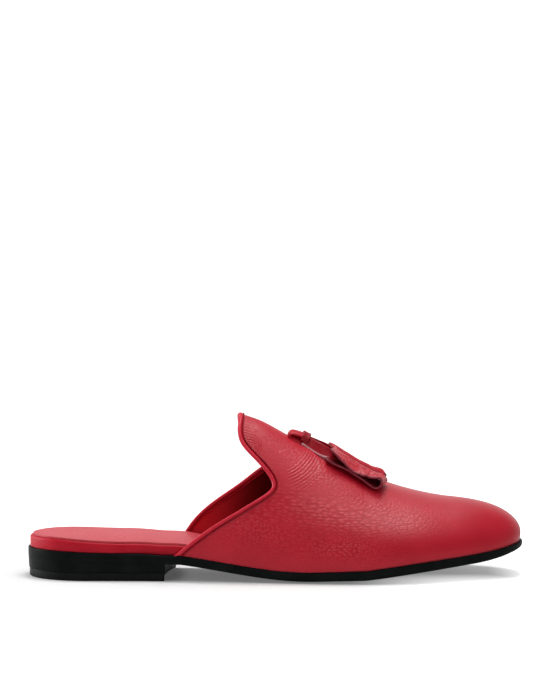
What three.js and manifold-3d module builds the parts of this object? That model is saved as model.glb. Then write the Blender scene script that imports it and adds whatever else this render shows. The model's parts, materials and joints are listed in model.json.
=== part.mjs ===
// Backless tassel loafer for a right foot: a moulded leather vamp with a raised tongue and piped topline,
// lasted on a wrapped insole, over a thin cupped outsole with a low stacked heel.
// Millimetres, +Z up, toe towards +X, lateral side towards -Y. Shape functions count x from the heel's back
// and y from the heel's centre line; the assembly is moved to the middle of its box at the end.
import * as THREE from "three";
import { mergeVertices } from "three/addons/utils/BufferGeometryUtils.js";
import Module from "manifold-3d";

const wasm = await Module();
wasm.setup();

// Driving dimensions
const LENGTH = 298; // outsole, heel to toe
const GAP = 0.3; // between pieces that meet
const SOLE_THICKNESS = 5.2;
const SEAT_HEIGHT = 12.4; // underside of the outsole over the heel
const SEAT_DIP = 1.2; // the seat sinks by this from the heel's back to just behind the breast
const TOP_LIFT = 5; // rubber layer that meets the floor
const TOE_SPRING = 15.6;
const TIP_FROM = 270; // from here to the tip the sole thins from below
const TIP_RISE = 2;
const CROWN = 3; // rise of the outsole's edge over its middle at the ball
const WALL = 2; // upper, leather with its lining
const UPPER_INSET = 0.8; // upper inside the outsole's edge
const TOE_LEDGE = 1.6; // outsole ahead of the upper's toe
const TOE_OVERHANG = 1.2; // upper's toe leaning forward over its own foot
const INSOLE_THICKNESS = 6.6; // wrapped board at the heel
const INSOLE_FOREFOOT = 3.6;
const BANK = 1.4; // drop of the insole's lateral side along the heel
const SOCK_THICKNESS = 1;
const PIPING = 2.5; // diameter

// Where the outline turns round, and where the sole leaves the floor
const HEEL_ROUND_TO = 36;
const TOE_ROUND_FROM = 228;
const TOE_ROUND_POWER = 2.5; // 2 would be an ellipse
const TOE_DROP_FROM = 256;
const TOE_DROP_POWER = 2.4;
const TREAD_BACK = 174;
const TREAD_FRONT = 202;
const SEAT_FRONT = 60;
const DIP_SINKS = { from: 8, to: 58 };
const DIP_ENDS = { from: 95, to: 78 };
const SPRING_POWER = 1.2;
const BALL_HALF_WIDTH = 50;
const FLAT_SHARE = 0.48; // of the ball's half width, flat across the tread
const CUP_FROM = 90; // the edge starts to rise over the middle here
const CUP_FULL = 170;
const LEAN_FROM = 240; // the toe starts to lean forward here
const LEAN_HEIGHT = 18; // and stands upright again this far up
const MERGE = 1e-3; // corners nearer than this are one

const clamp01 = (t) => Math.min(Math.max(t, 0), 1);
const smooth = (t) => t * t * (3 - 2 * t);
const mix = (a, b, t) => a + (b - a) * t;
const ramp = (x, { from, to }) => smooth(clamp01((x - from) / (to - from)));

// Natural cubic spline through points whose xs rise.
function spline(xs, ys) {
  const last = xs.length - 1;
  const step = xs.slice(1).map((x, i) => x - xs[i]);
  const bend = xs.map(() => 0);
  const share = xs.map(() => 0);
  for (let i = 1; i < last; i++) {
    const turn = 6 * ((ys[i + 1] - ys[i]) / step[i] - (ys[i] - ys[i - 1]) / step[i - 1]);
    const pivot = 2 * (step[i - 1] + step[i]) - step[i - 1] * share[i - 1];
    share[i] = step[i] / pivot;
    bend[i] = (turn - step[i - 1] * bend[i - 1]) / pivot;
  }
  for (let i = last - 1; i > 0; i--) bend[i] -= share[i] * bend[i + 1];
  return (x) => {
    let i = 0;
    while (i < last - 1 && x > xs[i + 1]) i++;
    const a = (xs[i + 1] - x) / step[i];
    const b = 1 - a;
    const bow = ((a ** 3 - a) * bend[i] + (b ** 3 - b) * bend[i + 1]) * (step[i] ** 2 / 6);
    return a * ys[i] + b * ys[i + 1] + bow;
  };
}

// A table of sections: the first column is the place, and each other column becomes a curve of its name.
function table(columns, rows) {
  const places = rows.map((row) => row[0]);
  const curve = (name, k) => [name, spline(places, rows.map((row) => row[k + 1]))];
  return Object.fromEntries(columns.slice(1).map(curve));
}

// Sole in plan, before its ends are rounded: centre line towards the medial side, and half width.
const OUTLINE = table(["x", "centre", "half"], [
  [0, 0, 33.5],
  [40, 0, 33.5],
  [75, -1.2, 33],
  [105, -4, 32.5],
  [132, -6, 34],
  [160, -5.5, 39],
  [185, -2.6, 45],
  [207, 0.6, 49.2],
  [225, 2.6, 50],
  [245, 4, 48.6],
  [270, 4.5, 44.8],
  [298, 4.5, 40.5],
]);

// Upper's sections on the last: height of the ridge over the feather edge, the ridge's place across,
// how high the side climbs before it leans in, how far it bellies out, and how broad the crown is.
const LAST = table(["x", "height", "ridge", "rise", "belly", "crown"], [
  [84, 108, 0, 0.42, 1, 0.5],
  [128, 87.2, 0, 0.42, 3, 0.5],
  [140, 84.6, 0.2, 0.42, 3.5, 0.5],
  [152, 79.4, 0.5, 0.42, 4, 0.5],
  [185, 62.6, 2, 0.42, 4.5, 0.55],
  [218, 44.8, 3.5, 0.45, 4, 0.58],
  [236, 37.2, 4.2, 0.48, 3.5, 0.6],
  [255, 31.8, 4.5, 0.5, 3, 0.6],
  [279, 28.8, 4.5, 0.54, 2, 0.58],
  [298, 28, 4.5, 0.56, 1, 0.56],
]);

// Topline: girth runs from the feather edge (0) to the ridge (1), and the other columns say how far from the
// heel the upper's edge lies on each side. It climbs to the notch, then turns back along the tongue, and
// the medial wing is the higher one.
const TOPLINE = table(["girth", "lateral", "medial"], [
  [0, 93.4, 92.6],
  [0.11, 107.6, 101],
  [0.243, 126, 115.6],
  [0.36, 142, 129.6],
  [0.43, 148.6, 137],
  [0.48, 149.8, 142],
  [0.52, 148, 145.4],
  [0.6, 138.6, 141.5],
  [0.66, 131.8, 133.6],
  [0.72, 129.4, 129.2],
  [0.85, 129.6, 128.6],
  [1, 130, 130],
]);

// Share of the full width that a rounded end leaves: u is 0 where the rounding starts and 1 at the tip.
const roundEnd = (u, power = 2) => (1 - clamp01(u) ** 2) ** (1 / power);

// Half width of the outline drawn in by inset, with its ends at heelEnd and toeEnd.
function halfWidth(x, inset, heelEnd, toeEnd) {
  const heel = roundEnd((HEEL_ROUND_TO - x) / (HEEL_ROUND_TO - heelEnd));
  const toe = roundEnd((x - TOE_ROUND_FROM) / (toeEnd - TOE_ROUND_FROM), TOE_ROUND_POWER);
  return (OUTLINE.half(x) - inset) * heel * toe;
}

// How far the sole thins from below towards its tip.
const tipRise = (x) => TIP_RISE * clamp01((x - TIP_FROM) / (LENGTH - TIP_FROM)) ** 2;

// Underside of the outsole: nearly level under the heel, down through the waist to the tread, up at the toe,
// and cupped a little towards its edges.
function soleBottom(x, y) {
  const waist = SEAT_HEIGHT * smooth(clamp01((TREAD_BACK - x) / (TREAD_BACK - SEAT_FRONT)));
  const dip = SEAT_DIP * ramp(x, DIP_SINKS) * ramp(x, DIP_ENDS);
  const spring = TOE_SPRING * clamp01((x - TREAD_FRONT) / (LENGTH - TREAD_FRONT)) ** SPRING_POWER;
  const across = Math.abs(y - OUTLINE.centre(x)) / BALL_HALF_WIDTH;
  const cup = Math.max((across - FLAT_SHARE) / (1 - FLAT_SHARE), 0) ** 2;
  const cupping = CROWN * clamp01((x - CUP_FROM) / (CUP_FULL - CUP_FROM));
  return waist - dip + spring + tipRise(x) + cupping * cup;
}

const soleTop = (x, y) => soleBottom(x, y) + SOLE_THICKNESS - tipRise(x);

// Point of the upper at x: girth 0 is the feather edge and 1 the ridge, side -1 is lateral and 1 medial,
// and depth counts inwards from the outer face. Each rib is a cubic from the feather edge to the ridge.
function rib(x, girth, side, depth) {
  const toeEnd = LENGTH - TOE_LEDGE - depth;
  const foot = OUTLINE.centre(x) + side * halfWidth(x, UPPER_INSET + depth, 0, toeEnd);
  const floor = soleTop(x, foot) + GAP;
  const drop = roundEnd((x - TOE_DROP_FROM) / (toeEnd - TOE_DROP_FROM), TOE_DROP_POWER);
  const top = floor + (LAST.height(x) - depth) * drop;
  const belly = LAST.belly(x) * roundEnd((x - TOE_ROUND_FROM) / (toeEnd - TOE_ROUND_FROM));
  const ridge = LAST.ridge(x);
  const across = [foot, foot + side * belly, mix(ridge, foot, LAST.crown(x)), ridge];
  const up = [floor, mix(floor, top, LAST.rise(x)), top, top];
  const back = 1 - girth;
  const weights = [back ** 3, 3 * girth * back ** 2, 3 * girth ** 2 * back, girth ** 3];
  const blend = (corners) => corners.reduce((sum, c, k) => sum + c * weights[k], 0);
  const z = blend(up);
  const lean = TOE_OVERHANG * clamp01((x - LEAN_FROM) / (toeEnd - LEAN_FROM)) ** 4;
  const swell = Math.sin(Math.PI * clamp01((z - floor) / LEAN_HEIGHT));
  return new THREE.Vector3(x + lean * swell, blend(across), z);
}

// Geometry from corner points, three to a triangle: shared corners are merged, collapsed triangles dropped.
function facets(corners) {
  const merged = mergeVertices(new THREE.BufferGeometry().setFromPoints(corners), MERGE);
  const index = [];
  for (let t = 0; t < merged.index.count; t += 3) {
    const [a, b, c] = [0, 1, 2].map((k) => merged.index.getX(t + k));
    if (a !== b && b !== c && a !== c) index.push(a, b, c);
  }
  merged.setIndex(index);
  merged.computeVertexNormals();
  return merged;
}

// Closed solid through stacked layers. Every layer is a grid of the same size: the first and the last are
// filled faces, and the borders of all layers are joined as the wall.
function layeredSolid(layers) {
  const rows = layers[0].length;
  const columns = layers[0][0].length;
  const border = [];
  for (let i = 0; i < rows; i++) border.push([i, 0]);
  for (let j = 1; j < columns; j++) border.push([rows - 1, j]);
  for (let i = rows - 2; i >= 0; i--) border.push([i, columns - 1]);
  for (let j = columns - 2; j > 0; j--) border.push([0, j]);
  const corners = [];
  const quad = (a, b, c, d) => corners.push(a, b, c, a, c, d);
  const low = layers[0];
  const high = layers.at(-1);
  for (let i = 0; i + 1 < rows; i++) {
    for (let j = 0; j + 1 < columns; j++) {
      quad(low[i][j], low[i][j + 1], low[i + 1][j + 1], low[i + 1][j]);
      quad(high[i][j], high[i + 1][j], high[i + 1][j + 1], high[i][j + 1]);
    }
  }
  for (let k = 0; k + 1 < layers.length; k++) {
    border.forEach(([i, j], n) => {
      const [p, q] = border[(n + 1) % border.length];
      quad(layers[k][i][j], layers[k][p][q], layers[k + 1][p][q], layers[k + 1][i][j]);
    });
  }
  return facets(corners);
}

function toSolid(geometry) {
  const bare = new THREE.BufferGeometry().setAttribute("position", geometry.getAttribute("position"));
  const merged = mergeVertices(bare.setIndex(geometry.index), MERGE);
  const vertProperties = merged.getAttribute("position").array;
  return new wasm.Manifold(
    new wasm.Mesh({ numProp: 3, vertProperties, triVerts: new Uint32Array(merged.index.array) }),
  );
}

function fromSolid(made) {
  const mesh = made.getMesh();
  const geometry = new THREE.BufferGeometry();
  geometry.setAttribute("position", new THREE.BufferAttribute(mesh.vertProperties, 3));
  geometry.setIndex(new THREE.BufferAttribute(mesh.triVerts, 1));
  geometry.computeVertexNormals();
  return geometry;
}

const cut = (geometry, tool) => fromSolid(toSolid(geometry).subtract(toSolid(tool)));
const join = (geometry, other) => fromSolid(toSolid(geometry).add(toSolid(other)));

// Stations from 0 to 1, crowded towards both ends or towards the first one, where an outline is round.
const bothEnds = (n) => Array.from({ length: n + 1 }, (_, i) => (1 - Math.cos((Math.PI * i) / n)) / 2);
const firstEnd = (n) => Array.from({ length: n + 1 }, (_, i) => 1 - Math.cos((Math.PI * i) / (2 * n)));

// One layer of a plate with the sole's outline: shares say where its columns lie across, from -1 to 1.
function outlineLayer({ stations, shares, from, to, toeEnd = to, inset, level }) {
  return stations.map((t) => {
    const x = mix(from, to, t);
    const draw = typeof inset === "function" ? inset(x) : inset;
    const half = halfWidth(x, draw, from, toeEnd);
    return shares.map((share) => {
      const y = OUTLINE.centre(x) + share * half;
      return new THREE.Vector3(x, y, level(x, y));
    });
  });
}

// Outsole: a cupped plate whose edge is rounded off below and drawn in a little at the top.
const SOLE_COLUMNS = [-1, -0.86, -0.68, -0.46, 0, 0.46, 0.68, 0.86, 1];
const SOLE_ROWS = 36;

function outsole() {
  const stations = bothEnds(SOLE_ROWS);
  const edge = [
    { inset: 1.4, rise: 0 },
    { inset: 0.35, rise: 0.9 },
    { inset: 0, rise: 2.4 },
    { inset: 0.45, rise: SOLE_THICKNESS },
  ];
  const layers = edge.map(({ inset, rise }) => {
    const level = (x, y) => soleBottom(x, y) + rise * (1 - tipRise(x) / SOLE_THICKNESS);
    return outlineLayer({ stations, shares: SOLE_COLUMNS, from: inset, to: LENGTH - inset, inset, level });
  });
  return layeredSolid(layers);
}

// Heel: the stack and the top lift below it share the outline and a breast hollowed by a large cylinder,
// which leaves the medial corner further forward than the lateral one.
const HEEL_BREAST = 84; // lateral corner
const HEEL_BLANK = 96; // before the breast is cut
const HEEL_COLUMNS = [-1, -0.5, 0, 0.5, 1];
const HEEL_ROWS = 14;
const BREAST_RADIUS = 190;
const BREAST_SKEW = 0.09; // radians
const BREAST_HOLLOW = 3;
const CUTTER_HEIGHT = 60;
const CUTTER_SIDES = 128;

function breastCutter() {
  const tool = new THREE.CylinderGeometry(BREAST_RADIUS, BREAST_RADIUS, CUTTER_HEIGHT, CUTTER_SIDES);
  tool.rotateX(Math.PI / 2);
  const reach = BREAST_RADIUS - BREAST_HOLLOW;
  const middle = HEEL_BREAST + BREAST_HOLLOW;
  tool.translate(middle + reach * Math.cos(BREAST_SKEW), -reach * Math.sin(BREAST_SKEW), 0);
  return tool;
}

function heelLayer(inset, level) {
  const blank = { stations: firstEnd(HEEL_ROWS), shares: HEEL_COLUMNS, to: HEEL_BLANK, toeEnd: LENGTH };
  return outlineLayer({ ...blank, from: inset, inset, level });
}

function heelStack() {
  const foot = heelLayer(0.5, () => TOP_LIFT + GAP);
  const head = heelLayer(0.1, (x, y) => soleBottom(x, y) - GAP);
  return cut(layeredSolid([foot, head]), breastCutter());
}

function heelTopLift() {
  const tread = heelLayer(1.6, () => 0);
  const side = heelLayer(0.9, () => 0.7);
  const head = heelLayer(0.8, () => TOP_LIFT);
  return cut(layeredSolid([tread, side, head]), breastCutter());
}

// Insole: a board wrapped in the upper's leather. It shows round the heel and steps in behind the upper.
const INSOLE_HEEL_INSET = 1.2;
const INSOLE_PLAY = 0.6; // to the inside of the upper's wall
const INSOLE_INNER_INSET = UPPER_INSET + WALL + INSOLE_PLAY;
const INSOLE_TOE_INSET = TOE_LEDGE + WALL + INSOLE_PLAY;
const INSOLE_STEP = { from: 50, to: 82 }; // where it steps in
const INSOLE_THINS = { from: 90, to: 170 };
const BANK_SINKS = { from: 10, to: 60 };
const BANK_ENDS = { from: 135, to: 95 };
const INSOLE_COLUMNS = [-1, -0.75, -0.45, 0, 0.45, 0.75, 1];
const INSOLE_ROWS = 30;
const INSOLE_EDGE = 0.8; // rounding of the wrapped rim
const insoleInset = (x) => mix(INSOLE_HEEL_INSET, INSOLE_INNER_INSET, ramp(x, INSOLE_STEP));
const insoleThickness = (x) => mix(INSOLE_THICKNESS, INSOLE_FOREFOOT, ramp(x, INSOLE_THINS));

function insoleTop(x, y) {
  const lateral = Math.min(y - OUTLINE.centre(x), 0) / OUTLINE.half(x);
  const bank = BANK * lateral ** 2 * ramp(x, BANK_SINKS) * ramp(x, BANK_ENDS);
  return soleTop(x, y) + GAP + insoleThickness(x) - bank;
}

function insoleLayer(draw, level) {
  const stations = bothEnds(INSOLE_ROWS);
  const inset = (x) => insoleInset(x) + draw;
  const from = INSOLE_HEEL_INSET + draw;
  const to = LENGTH - INSOLE_TOE_INSET - draw;
  return outlineLayer({ stations, shares: INSOLE_COLUMNS, from, to, inset, level });
}

function insole() {
  const foot = insoleLayer(0, (x, y) => soleTop(x, y) + GAP);
  const side = insoleLayer(0, (x, y) => insoleTop(x, y) - INSOLE_EDGE);
  const top = insoleLayer(INSOLE_EDGE, insoleTop);
  return layeredSolid([foot, side, top]);
}

// Sock lining: a thin leather sheet laid on the insole, a little inside its rim.
const SOCK_DRAW = 1.7;

function sockLining() {
  const under = insoleLayer(SOCK_DRAW, (x, y) => insoleTop(x, y) + GAP);
  const over = insoleLayer(SOCK_DRAW, (x, y) => insoleTop(x, y) + GAP + SOCK_THICKNESS);
  return layeredSolid([under, over]);
}

// Upper: one wall between the last's outer form and the same form drawn in. Rows run from the topline to the
// toe, columns from the lateral feather edge over the ridge to the medial one.
const UPPER_ROWS = 28;
const GIRTH_STEPS = 22; // columns on each side, crowded at the notch of the topline
const GIRTH_CROWDING = 0.45;

function girthAt(step) {
  const t = step / GIRTH_STEPS;
  return t + (GIRTH_CROWDING * Math.sin(2 * Math.PI * t)) / (2 * Math.PI);
}

const upperColumns = Array.from({ length: 2 * GIRTH_STEPS + 1 }, (_, j) => {
  const side = j < GIRTH_STEPS ? -1 : 1;
  return { side, girth: girthAt(side < 0 ? j : 2 * GIRTH_STEPS - j) };
});
const toplineAt = ({ girth, side }) => (side < 0 ? TOPLINE.lateral(girth) : TOPLINE.medial(girth));

function upperLayer(depth) {
  const toe = LENGTH - TOE_LEDGE - depth;
  return Array.from({ length: UPPER_ROWS + 1 }, (_, i) => {
    const share = Math.sin(((i / UPPER_ROWS) * Math.PI) / 2);
    const reach = i < UPPER_ROWS ? 1 : 0; // all columns meet at the toe's foot
    return upperColumns.map((c) => rib(mix(toplineAt(c), toe, share), reach * c.girth, c.side, depth));
  });
}

const upper = () => layeredSolid([upperLayer(WALL), upperLayer(0)]);

// Tube along a curve, with closed ends.
function tube(points, radius, sides, steps) {
  const section = new THREE.Shape();
  section.absarc(0, 0, radius, 0, 2 * Math.PI);
  return new THREE.ExtrudeGeometry(section, {
    steps,
    curveSegments: sides / 2,
    bevelEnabled: false,
    extrudePath: new THREE.CatmullRomCurve3(points),
  });
}

// Piping: a leather-covered cord sewn against the upper's edge. It runs down to the outsole at both ends.
const PIPING_SEAT = PIPING / 2 + GAP + 0.1; // from the upper's edge to the cord's middle
const PIPING_PROUD = 0.3; // cord's middle outside the wall's middle
const PIPING_SIDES = 8;
const PIPING_STEPS = 88;
const TRIM_REACH = 4; // of the block that trims the cord's ends, beyond the outsole's edge
const TRIM_BOTTOM = -10;

function pipingPath() {
  const edge = upperColumns.map((c) => rib(toplineAt(c), c.girth, c.side, WALL / 2 - PIPING_PROUD));
  const ahead = upperColumns.map((c) => rib(toplineAt(c) + 1, c.girth, c.side, WALL / 2 - PIPING_PROUD));
  return edge.map((point, j) => {
    const before = edge[Math.max(j - 1, 0)];
    const after = edge[Math.min(j + 1, edge.length - 1)];
    const along = after.clone().sub(before).normalize();
    const out = point.clone().sub(ahead[j]);
    out.addScaledVector(along, -out.dot(along)).normalize();
    return point.clone().addScaledVector(out, PIPING_SEAT);
  });
}

function piping() {
  const path = pipingPath();
  const beyond = (end, next) => end.clone().multiplyScalar(2).sub(next);
  const longPath = [beyond(path[0], path[1]), ...path, beyond(path.at(-1), path.at(-2))];
  const cord = tube(longPath, PIPING / 2, PIPING_SIDES, PIPING_STEPS);
  const grid = { stations: bothEnds(SOLE_ROWS), shares: SOLE_COLUMNS };
  const trim = { ...grid, from: 0, to: LENGTH, inset: -TRIM_REACH };
  const under = outlineLayer({ ...trim, level: () => TRIM_BOTTOM });
  const over = outlineLayer({ ...trim, level: (x, y) => soleTop(x, y) + GAP });
  return cut(cord, layeredSolid([under, over]));
}

// Place on the vamp: X runs along it towards the toe, Y across it towards the medial side, Z away from it.
const GIRTH_STEP = 0.01;

function vampFrame(x, girth, side) {
  const origin = rib(x, girth, side, 0);
  const along = rib(x + 1, girth, side, 0).sub(rib(x - 1, girth, side, 0)).normalize();
  const lower = rib(x, girth - GIRTH_STEP, side, 0);
  const across = origin.clone().sub(lower).multiplyScalar(-side);
  if (girth === 1) across.set(0, 1, 0); // level on the ridge itself
  const away = along.clone().cross(across).normalize();
  across.copy(away).cross(along);
  return { origin, turn: new THREE.Matrix4().makeBasis(along, across, away) };
}

// Points of a path from rows of [along, height].
const table2d = (rows) => rows.map(([along, height]) => new THREE.Vector2(along, height));

// Strip of leather bent along such a path and given its width across.
function strip(path, thickness, width, steps) {
  const curve = new THREE.SplineCurve(path);
  const sides = [[], []];
  for (let k = 0; k <= steps; k++) {
    const point = curve.getPoint(k / steps);
    const along = curve.getTangent(k / steps);
    const out = new THREE.Vector2(-along.y, along.x).multiplyScalar(thickness / 2);
    sides[0].push(point.clone().sub(out));
    sides[1].unshift(point.clone().add(out));
  }
  const section = new THREE.Shape([...sides[0], ...sides[1]]);
  const geometry = new THREE.ExtrudeGeometry(section, { depth: width, bevelEnabled: false, steps: 1 });
  geometry.translate(0, 0, -width / 2);
  return geometry.rotateX(Math.PI / 2);
}

// Block with rounded long edges, its length along X, standing on Z = 0.
function roundedBlock(length, width, height, radius) {
  const [w, h] = [width / 2, height];
  const section = new THREE.Shape();
  section.absarc(w - radius, radius, radius, -Math.PI / 2, 0);
  section.absarc(w - radius, h - radius, radius, 0, Math.PI / 2);
  section.absarc(radius - w, h - radius, radius, Math.PI / 2, Math.PI);
  section.absarc(radius - w, radius, radius, Math.PI, 1.5 * Math.PI);
  const block = new THREE.ExtrudeGeometry(section, { depth: length, bevelEnabled: false, curveSegments: 3 });
  block.rotateX(Math.PI / 2).rotateZ(Math.PI / 2);
  return block;
}

// Tassel ornament on the ridge: a strap loops up through the vamp into a keeper, and from there a strap runs
// down each side into a tassel, a broad strip folded back on itself at the toe end and bound at its middle.
const ORNAMENT_LIFT = 0.5; // clear of the vamp
const LOOP_PLACE = 156;
const LOOP_WIDTH = 12.6;
const KEEPER_PLACE = 163.4;
const KEEPER = { length: 5, width: 13.4, height: 7.2, radius: 1.6 };
const STRAP_HEIGHT = 3.4; // up the keeper's front face
const STRAP_WIDTH = 7.2;
const STRAP_THICKNESS = 1.5;
const STRAP_CLEAR = 1.3; // its turned end, from the keeper
const STRAP_ROLL = 0.16; // radians, outwards from the lie of the tassel
const TASSEL_PLACE = 195; // middle of its length
const TASSEL_GIRTH = 0.84;
const TASSEL_SPLAY = 0.2; // radians, apart towards the toe
const TASSEL_LIFT = 0.9;
const TASSEL_STEPS = 48;
const TASSEL_WIDTH = 16;
const TASSEL_STRIP = 1.4; // thickness
const TASSEL_MOUTH = { along: -14.5, inwards: 1.5, height: 3 }; // the strap's end
const BINDING = { place: -4, length: 2.2, overlap: 0.6, height: 4.4, sink: 0.2, radius: 1.2 };

// Fold of a tassel's strip, from its end under the strap, round the toe end and back over the top.
const TASSEL_FOLD = table2d([
  [-17, 0.7],
  [-6, 0.7],
  [7, 0.7],
  [15, 1],
  [18.4, 3.4],
  [15, 6],
  [7, 5.8],
  [BINDING.place + 1, 3],
  [-10, 4.6],
  [-18.5, 6.2],
]);

function tassel() {
  const fold = strip(TASSEL_FOLD, TASSEL_STRIP, TASSEL_WIDTH, TASSEL_STEPS);
  const width = TASSEL_WIDTH + 2 * BINDING.overlap;
  const binding = roundedBlock(BINDING.length, width, BINDING.height, BINDING.radius);
  return join(fold, binding.translate(BINDING.place, 0, -BINDING.sink));
}

// Loop: both ends lie in the keeper, and the bend stands over the slit in the vamp.
const LOOP_FOLD = table2d([
  [8, 0.85],
  [4, 0.85],
  [0.9, 1.5],
  [0.3, 3],
  [2.4, 4.5],
  [5.4, 4.7],
  [8, 4.4],
]);
const LOOP_STEPS = 24;
const STRAP_SAG = 0.4;
const STRAP_STEPS = 8;
const strapPath = (reach) => table2d([[0, 0], [reach / 2, -STRAP_SAG], [reach, 0]]);

// Finishes of the pieces
function finish(name, color, roughness) {
  return new THREE.MeshStandardMaterial({ name, color, roughness, metalness: 0 });
}

const RED_GRAIN = finish("red grained leather", 0xb02a38, 0.5);
const RED_SMOOTH = finish("red smooth leather", 0xb8303c, 0.45);
const RED_SOCK = finish("red sock leather", 0xc84b55, 0.5);
const BLACK_EDGE = finish("black polished edge", 0x101312, 0.35);
const BLACK_RUBBER = finish("black rubber", 0x161616, 0.7);

const shoe = new THREE.Group();

function addPiece(parent, name, geometry, material) {
  const mesh = new THREE.Mesh(geometry, material);
  mesh.name = name;
  parent.add(mesh);
  return mesh;
}

function seat(object, { origin, turn }, lift) {
  object.quaternion.setFromRotationMatrix(turn);
  object.position.copy(origin).addScaledVector(new THREE.Vector3().setFromMatrixColumn(turn, 2), lift);
  return object;
}

// Sole and upper
addPiece(shoe, "outsole", outsole(), BLACK_EDGE);
addPiece(shoe, "heel_stack", heelStack(), BLACK_EDGE);
addPiece(shoe, "heel_top_lift", heelTopLift(), BLACK_RUBBER);
addPiece(shoe, "insole", insole(), RED_SMOOTH);
addPiece(shoe, "sock_lining", sockLining(), RED_SOCK);
addPiece(shoe, "upper", upper(), RED_GRAIN);
addPiece(shoe, "topline_piping", piping(), RED_SMOOTH);

// Ornament: loop and keeper on the ridge, then a tassel and its strap on each side of it
const loop = strip(LOOP_FOLD, STRAP_THICKNESS, LOOP_WIDTH, LOOP_STEPS);
seat(addPiece(shoe, "tassel_loop", loop, RED_SMOOTH), vampFrame(LOOP_PLACE, 1, 1), ORNAMENT_LIFT);
const keeperBlock = roundedBlock(KEEPER.length, KEEPER.width, KEEPER.height, KEEPER.radius);
const keeper = addPiece(shoe, "tassel_keeper", keeperBlock, RED_SMOOTH);
seat(keeper, vampFrame(KEEPER_PLACE, 1, 1), ORNAMENT_LIFT);
keeper.updateMatrix();

for (const [name, side] of [["lateral", -1], ["medial", 1]]) {
  const frame = vampFrame(TASSEL_PLACE, TASSEL_GIRTH, side);
  frame.turn.multiply(new THREE.Matrix4().makeRotationZ(side * TASSEL_SPLAY));
  const piece = seat(addPiece(shoe, `tassel_${name}`, tassel(), RED_GRAIN), frame, TASSEL_LIFT);
  piece.updateMatrix();

  // The strap runs from the keeper's front face into the tassel's mouth.
  const start = new THREE.Vector3(KEEPER.length + STRAP_CLEAR, side * (STRAP_WIDTH / 2 + GAP), STRAP_HEIGHT);
  start.applyMatrix4(keeper.matrix);
  const mouth = new THREE.Vector3(TASSEL_MOUTH.along, -side * TASSEL_MOUTH.inwards, TASSEL_MOUTH.height);
  mouth.applyMatrix4(piece.matrix);
  const along = mouth.clone().sub(start).normalize();
  const away = new THREE.Vector3().setFromMatrixColumn(frame.turn, 2);
  const across = away.cross(along).normalize();
  const turn = new THREE.Matrix4().makeBasis(along, across, along.clone().cross(across));
  turn.multiply(new THREE.Matrix4().makeRotationX(-side * STRAP_ROLL));
  const strap = strip(strapPath(mouth.distanceTo(start)), STRAP_THICKNESS, STRAP_WIDTH, STRAP_STEPS);
  seat(addPiece(shoe, `tassel_strap_${name}`, strap, RED_SMOOTH), { origin: start, turn }, 0);
}

// The part's origin is on the floor, under the middle of its box.
const middle = new THREE.Box3().setFromObject(shoe, true).getCenter(new THREE.Vector3());
shoe.position.set(-middle.x, -middle.y, 0);

export default shoe;
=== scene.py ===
# Backless tassel loafer for a right foot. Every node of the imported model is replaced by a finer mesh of
# the same piece. Shapes are worked out in shoe millimetres: x from the heel's back towards the toe, y
# from the heel's centre line towards the medial side, z up from the floor.
import json
import math

import bmesh
import bpy
import numpy as np
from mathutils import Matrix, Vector

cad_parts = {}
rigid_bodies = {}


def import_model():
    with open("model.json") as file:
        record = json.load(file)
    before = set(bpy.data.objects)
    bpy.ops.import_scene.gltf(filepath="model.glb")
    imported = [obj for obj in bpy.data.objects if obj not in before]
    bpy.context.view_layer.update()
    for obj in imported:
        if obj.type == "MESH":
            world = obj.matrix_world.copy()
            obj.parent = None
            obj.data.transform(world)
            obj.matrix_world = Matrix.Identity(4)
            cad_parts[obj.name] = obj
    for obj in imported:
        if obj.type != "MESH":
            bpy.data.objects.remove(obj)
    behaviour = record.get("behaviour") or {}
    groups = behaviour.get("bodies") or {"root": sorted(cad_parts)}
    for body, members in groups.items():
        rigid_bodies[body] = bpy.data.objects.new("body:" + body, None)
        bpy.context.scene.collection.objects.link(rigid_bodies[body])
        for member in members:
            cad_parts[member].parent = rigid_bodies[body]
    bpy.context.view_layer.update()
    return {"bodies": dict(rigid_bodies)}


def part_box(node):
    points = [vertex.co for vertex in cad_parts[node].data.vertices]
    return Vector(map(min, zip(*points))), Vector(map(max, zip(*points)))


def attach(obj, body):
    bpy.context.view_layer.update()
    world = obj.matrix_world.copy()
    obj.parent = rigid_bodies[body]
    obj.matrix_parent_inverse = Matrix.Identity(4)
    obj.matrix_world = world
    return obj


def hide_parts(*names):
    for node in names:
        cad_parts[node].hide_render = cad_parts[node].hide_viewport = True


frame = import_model()
BODY = next(iter(frame["bodies"]))  # nothing on the shoe is jointed


# Outsole
# A thin leather sole, cut to the last's plan, cupped at the ball and sprung at the toe. Its edge is
# trimmed, inked black and polished, and it is cemented under the lasted upper.
MM = 0.001
SOLE_LENGTH = 298.0
SOLE_THICKNESS = 5.2
SEAT_HEIGHT = 12.4  # underside over the heel
SEAT_FRONT, TREAD_BACK, TREAD_FRONT = 60.0, 174.0, 202.0
SEAT_DIP = 1.2  # the seat sinks by this from the heel's back to just behind the breast
DIP_FROM, DIP_FULL, DIP_FADES, DIP_END = 8.0, 58.0, 78.0, 95.0
TOE_SPRING, SPRING_POWER = 15.6, 1.2
TIP_FROM, TIP_RISE = 270.0, 2.0  # towards the tip the sole thins from below
CROWN = 3.0  # rise of the edge over the middle at the ball
CUP_FROM, CUP_FULL = 90.0, 170.0
BALL_HALF_WIDTH, FLAT_SHARE = 50.0, 0.48
HEEL_ROUND_TO, TOE_ROUND_FROM, TOE_ROUND_POWER = 36.0, 228.0, 2.5
RING_COLUMNS = 320
SOLE_LOWER_ROUND, SOLE_UPPER_ROUND = 1.3, 0.5  # radii of the edge
FLUSH_FROM, FLUSH_TO = 96.0, 80.0  # behind this the edge is trimmed flush with the heel
FLUSH_SHARE = 0.12
EDGE_STEPS = 6
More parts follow.
